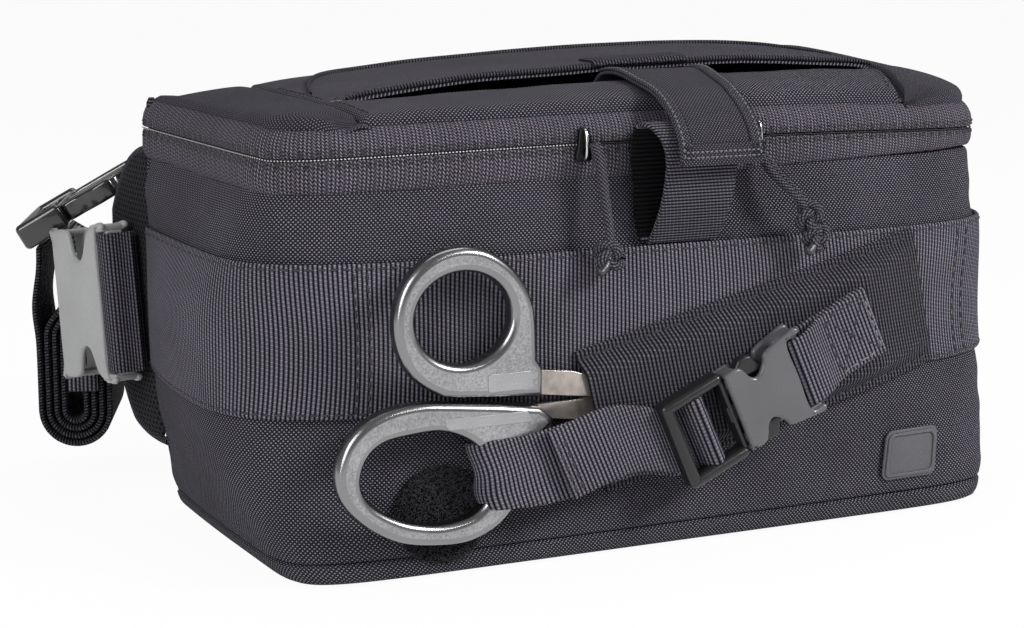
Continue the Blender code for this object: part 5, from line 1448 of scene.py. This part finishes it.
def makeBelt():
    wide, thick, turn, rollZ, left = belt["width"], belt["thick"], belt["turn"], belt["rollZ"], -belt["radius"]
    spin = Matrix.Rotation(turn, 3, "Z")
    group = Matrix.Translation((belt["rollX"], belt["front"], 0)) @ spin.to_4x4()
    male = Matrix.Translation(group @ Vector((1, wide / 2, rollZ + belt["lead"])))
    male = male @ (spin @ Matrix.Rotation(belt["lean"], 3, "Y")).to_4x4()
    makeMale("belt", male, beltClip, "clipBlack", (("front", -1), ("rear", 1)))
    # rolled end, from the male frame down into its turns
    bar = group.inverted() @ male @ Vector((-0.8 * belt["frame"], 0, 0.5))
    lead = through([(bar.x, bar.z), (bar.x - 0.4, bar.z - 9), (left - 1.2, rollZ + 26), (left - 0.2, rollZ + 13),
                    (left, rollZ)], 8)
    path = [group @ Vector((x, wide / 2, z)) for x, z in evenly([*lead[:-1], *rollPath()], 1.0)]
    roll = ribbon("belt_roll", path, spin @ Vector((0, 1, 0)), wide, thick, "rolled", turned=True)
    dress(roll, "bag", "belt_tail_roll")

    def keeperPoint(x, z):
        return group @ Vector((x, -1.1 + 0.2 * math.sin(x), z))

    keeper = gridOf(keeperPoint, np.linspace(-3, 8, 8), np.linspace(36, 56, 14))
    dress(clothSheet("keeper_band", keeper, 1.5, "webbing"), "bag", "roll_keeper")

    # long strap behind the bag, from the male frame to the right wing: place, twist and yaw
    floor = thick / 2 + 0.3
    endX = wing["x"] + wing["flare"] * wing["strapEnd"] + wing["pad"] / 2 + 0.3 + thick / 2
    endY = wing["root"] + wing["length"] * wing["strapEnd"]
    under, ahead = male @ Vector((-0.45 * belt["frame"], 0, 0.8)), spin @ Vector((1, 0, 0))
    second, third = under + 11 * ahead - Vector((0, 0, 7)), under + 26 * ahead - Vector((0, 0, 18))
    middleY = belt["front"] + wide / 2
    stations = [
        (*under, 0, turn), (*second, 0, turn), (*third, 0, turn), (under.x + 44, under.y - 8, 48, 0, 0.4 * turn),
        (under.x + 64, under.y - 3, 17, 0, 0.4 * turn), (under.x + 88, middleY, floor + 2, 0, 0),
        (-40, middleY, floor, 0, 0), (5, middleY, floor, 0, 0), (50, middleY, floor + 2.5, 0, 0),
        (82, middleY, 16, 22, 0), (112, middleY - 4, 32, 48, 0), (138, middleY - 13, 56, 74, 0),
        (endX + 2, endY + 34, 74, 88, 0), (endX + 1.5, endY + 14, 78, 90, 0), (endX, endY, 78, 90, 0),
    ]
    path = evenly(through(stations, 10), 2.0)
    twist, yaw = np.radians(path[:, 3]), path[:, 4]
    along = unit(np.gradient(path[:, :3], axis=0))
    side = np.stack([-np.sin(yaw) * np.cos(twist), np.cos(yaw) * np.cos(twist), np.sin(twist)], 1)
    across = side - along * (side * along).sum(1)[:, None]
    dress(ribbon("belt_long", path[:, :3], across, wide, thick), "bag", "belt_strap_long")

    # female half on the left wing
    barEnd = Vector((-wing["x"] - 10.5, wing["root"] + 7, 76))
    mouth = barEnd + Vector((-9, 37, -5)).normalized() * belt["body"]
    run = (barEnd - mouth).normalized()
    face = run.cross(Vector((0, 0, 1))).normalized()
    up = face.cross(run)
    female = Matrix.Translation(mouth - face * beltClip["thick"] / 2) @ Matrix((run, up, face)).transposed().to_4x4()
    # its black plastic is painted pale, a painted reflection
    dress(clipBody("belt_clip_body", female, beltClip, "paleReflection"), "wing_left", "belt_buckle_female")
    loop, body = barLoop(beltClip), belt["body"]
    (_, bottom), (_, top) = loop[0], loop[-1]
    high = bottom + webThick - 0.2
    first = [(body + 3.6, bottom - 0.5), (body + 2, bottom - 0.3), (body, bottom)]
    last = [(body, top), (body + 2.2, top - 1.4), (body + 3.4, beltClip["thick"] / 2), (body + 4.2, high + 2),
            (body + 5.6, high + 0.2)]
    flat = evenly([*through(first, 6), *loop, *through(last, 6)], 0.8)
    strap = ribbon("belt_left", inFrame(female, flat), up, wide, webThick, "loop", turned=True)
    dress(strap, "wing_left", "belt_strap_left")


makeBelt()
print("belt done")


# Padded pieces: the back pad and the two hip wings
air = {"pressure": 4.0, "frames": 20, "mass": 0.25, "stiff": 12.0, "start": 0.62}
backPad = {
    "half": 122, "middle": 64, "tall": 100, "channel": 42, "puff": 3.6, "fill": 0.7, "voxel": 3.0, "cap": 2.6,
    "rest": bag["backSeam"] + 0.3, "uv": (0, 2), "y": bag["backSeam"] + 4.8, "sewnHalf": 117.5, "sewnTall": 45.5,
    "dip": 1.5,
}
hipPad = {"puff": 2.1, "fill": 0.6, "voxel": 1.8, "cap": 1.6, "uv": (1, 2), "sewn": (0.08, 0.9), "hem": 4.5}


def places(mesh):
    flat = np.empty(3 * len(mesh.vertices), np.float32)
    mesh.vertices.foreach_get("co", flat)
    return flat.reshape(-1, 3)


def evaluated(obj):
    return obj.evaluated_get(bpy.context.evaluated_depsgraph_get())


def airPad(pad, size, sewn):
    # Air swells the pad between its sewn lines, then its flat pattern is laid again
    voxels = pad.modifiers.new("voxels", "REMESH")
    voxels.mode, voxels.voxel_size = "VOXEL", size["voxel"] * mm
    finish = pad.data.materials[0]
    mesh = pad.data = bpy.data.meshes.new_from_object(evaluated(pad))
    pad.modifiers.clear()
    mesh.name = pad.name
    start = places(mesh)
    held = pad.vertex_groups.new(name="sewn")
    held.add([index for index, place in enumerate(start / mm) if sewn(*place)], 1, "REPLACE")
    cloth = pad.modifiers.new("air", "CLOTH")
    cloth.settings.use_pressure = True
    cloth.settings.uniform_pressure_force = air["pressure"]
    cloth.settings.mass = air["mass"]
    cloth.settings.tension_stiffness = cloth.settings.compression_stiffness = air["stiff"]
    cloth.settings.vertex_group_mass = held.name
    cloth.settings.effector_weights.gravity = 0
    cloth.collision_settings.use_collision = False
    cloth.point_cache.frame_start, cloth.point_cache.frame_end = 1, air["frames"]
    for frameNumber in range(1, air["frames"] + 1):
        scene.frame_set(frameNumber)
    move = places(evaluated(pad).data) - start
    pad.modifiers.clear()
    pad.vertex_groups.clear()
    scene.frame_set(1)
    reach = np.linalg.norm(move, axis=1, keepdims=True)
    swollen = start + move * np.minimum(1, size["cap"] * mm / np.maximum(reach, 1e-9))
    if "rest" in size:
        swollen[:, 1] = np.maximum(swollen[:, 1], size["rest"] * mm)
    mesh.vertices.foreach_set("co", swollen.astype(np.float32).ravel())
    mesh.materials.clear()
    mesh.materials.append(finish)
    layUv(mesh, swollen[:, size["uv"]])
    mesh.shade_smooth()
    smooth = pad.modifiers.new("smooth", "SUBSURF")
    smooth.levels = smooth.render_levels = 1
    print("swelled", pad.name, len(mesh.vertices), "largest move", round(float(reach.max()) / mm, 2))


def padPiece(name, node, body, finish, thick, us, vs, place, size, sewn, turned=False):
    # place gives a point of the pad's middle and how far it swells there
    grid = np.array(gridOf(place, us, vs))
    pad = clothSheet(name, grid[..., :3], thick, finish, edge=0.8, turned=turned, swell=grid[..., 3])
    airPad(pad, size, sewn)
    dress(pad, body, node)
    return grid[..., :3]


def swollenBy(size, crown, fold):
    return (air["start"]) * max(0, size["puff"] * crown - fold)


def backPadPoint(u, v):
    x = backPad["half"] * (1 - 2 * u) * (1 - 0.012 * math.sin(math.pi * v))
    z = backPad["middle"] + backPad["tall"] * (v - 0.5) + 1.5 * math.sin(math.pi * u) * (1 - 2 * v)
    crown = pillow(u, 5) ** 0.6 * pillow(v, 5) ** 0.6
    puff = swollenBy(backPad, crown, backPad["dip"] * bell(abs(x), backPad["channel"], 2.2) * crown)
    return x, backPad["y"], z, puff + 0.2 * wrinkle((x, 0, z), 0.04, 71)


def backPadSewn(x, y, z):
    edge = abs(x) > backPad["sewnHalf"] or abs(z - backPad["middle"]) > backPad["sewnTall"]
    return edge or abs(abs(x) - backPad["channel"]) < 1.6


def wingReach(share):
    return wing["tall"] - wing["taper"] * max(0, share) ** 2.2


def wingPoint(sign, share, v):
    z = wing["middle"] + wingReach(share) * (2 * v - 1)
    root = min(wing["x"], atHeight(bag["back"], z) - 0.8)
    x = root + (wing["x"] + wing["flare"] - root) * min(1, share * 2)
    puff = swollenBy(hipPad, pillow(share, 5) ** 0.6 * pillow(v, 6) ** 0.6, 0)
    y = wing["root"] - 0.8 + (wing["length"] + 0.6) * share
    return sign * x, y, z, puff + 0.15 * wrinkle((share * 50, z, 0), 0.06, 73)


def wingSewn(x, y, z):
    share = (y - wing["root"]) / wing["length"]
    root, end = hipPad["sewn"]
    return share < root or share > end or abs(z - wing["middle"]) > wingReach(share) - hipPad["hem"]


def squarish(value):
    return math.copysign(abs(value) ** 0.12, value)


def makePads():
    grid = np.linspace(0, 1, 70), np.linspace(0, 1, 40)
    padPiece("pad_back", "back_pad", "bag", "mesh", 1.4, *grid, backPadPoint, backPad, backPadSewn)
    rim = []
    for turn in np.linspace(0, 2 * math.pi, 240, endpoint=False):
        x, z = backPad["half"] * squarish(math.cos(turn)), backPad["tall"] / 2 * squarish(math.sin(turn))
        rim.append((x, backPad["y"] - 0.2, backPad["middle"] + z))
    dress(tubeMesh("pad_piping", evenly([*rim, rim[0]], 2)[:-1], 1.5, "binding", 10, cyclic=True), "bag")
    for label, sign, body in (("left", -1, "wing_left"), ("right", 1, "bag")):
        grid = np.linspace(0, 1, 36), np.linspace(0, 1, 50)
        place = partial(wingPoint, sign)
        middle = padPiece("hip_wing_" + label, "wing_" + label, body, "wingMesh", 1.6, *grid, place, hipPad, wingSewn,
                          turned=sign < 0)
        edge = [*middle[:, 0], *middle[-1, 1:], *middle[::-1, -1][1:]]
        dress(tubeMesh("wing_binding_" + label, evenly(edge, 2), 1.4, "binding", 10), body)


makePads()
print("pads done")

# The rivet keeps its own shape and gets its finish
nodes["pivot_rivet"].data.materials.clear()
nodes["pivot_rivet"].data.materials.append(materials["steel"])

sewAll()
print("stitches sewn:", sum(map(len, stitches.values())))

# Floor and studio light: place, target, size and power of each lamp
studio = {"floor": 0.86, "backdrop": 0.95, "world": 0.25, "reach": 15, "below": -0.0006}
lamps = {
    "keyBox": ((0.85, -0.9, 0.9), (0, 0, 0.08), (0.34, 0.34), 16.0),
    "fillBox": ((-1.0, -0.6, 0.6), (0, 0, 0.08), (0.6, 0.8), 5.5),
    "topBox": ((0.1, 0.35, 1.2), (0, 0, 0.1), (0.9, 0.6), 4.0),
    "leftStrip": ((-0.95, -0.45, 0.5), (-0.05, 0, 0.08), (0.04, 0.9), 2.0),
    "rightStrip": ((0.55, -0.95, 0.75), (0, 0, 0.08), (0.9, 0.04), 2.0),
}
floorMaterial, tree, _ = newMaterial("paleFloor", {
    "Roughness": 0.9, "Specular IOR Level": 0.1, "Base Color": (studio["floor"],) * 3 + (1,),
})
rays = addNode(tree, "LightPath").outputs
seen = rays["Is Camera Ray"]
for kind in ("Is Glossy Ray", "Is Transmission Ray"):
    seen = maths(tree, "MAXIMUM", seen, rays[kind])
mixFloor = addNode(tree, "MixShader", {
    0: maths(tree, "MULTIPLY", seen, studio["backdrop"]), 1: tree.nodes["Principled BSDF"].outputs[0],
    2: addNode(tree, "Emission").outputs[0],
})
feed(tree, mixFloor.outputs[0], tree.nodes["Material Output"].inputs[0])
floorMesh = bpy.data.meshes.new("floor")
reach = studio["reach"]
corners = [(x * reach, y * reach, studio["below"]) for x, y in ((-1, -1), (1, -1), (1, 1), (-1, 1))]
floorMesh.from_pydata(corners, [], [(0, 1, 2, 3)])
floorMesh.materials.append(floorMaterial)
addObject("floor", floorMesh)

scene.world = bpy.data.worlds.new("studio")
scene.world.use_nodes = True
background = scene.world.node_tree.nodes["Background"].inputs
background["Color"].default_value = (1, 1, 1, 1)
background["Strength"].default_value = studio["world"]
for name, (place, target, size, power) in lamps.items():
    lamp = addObject(name, bpy.data.lights.new(name, "AREA"))
    lamp.data.shape = "RECTANGLE"
    lamp.data.size, lamp.data.size_y = size
    lamp.data.energy = power
    lamp.location = place
    lamp.rotation_euler = (Vector(target) - Vector(place)).to_track_quat("-Z", "Y").to_euler()

scene.view_settings.view_transform = "Standard"
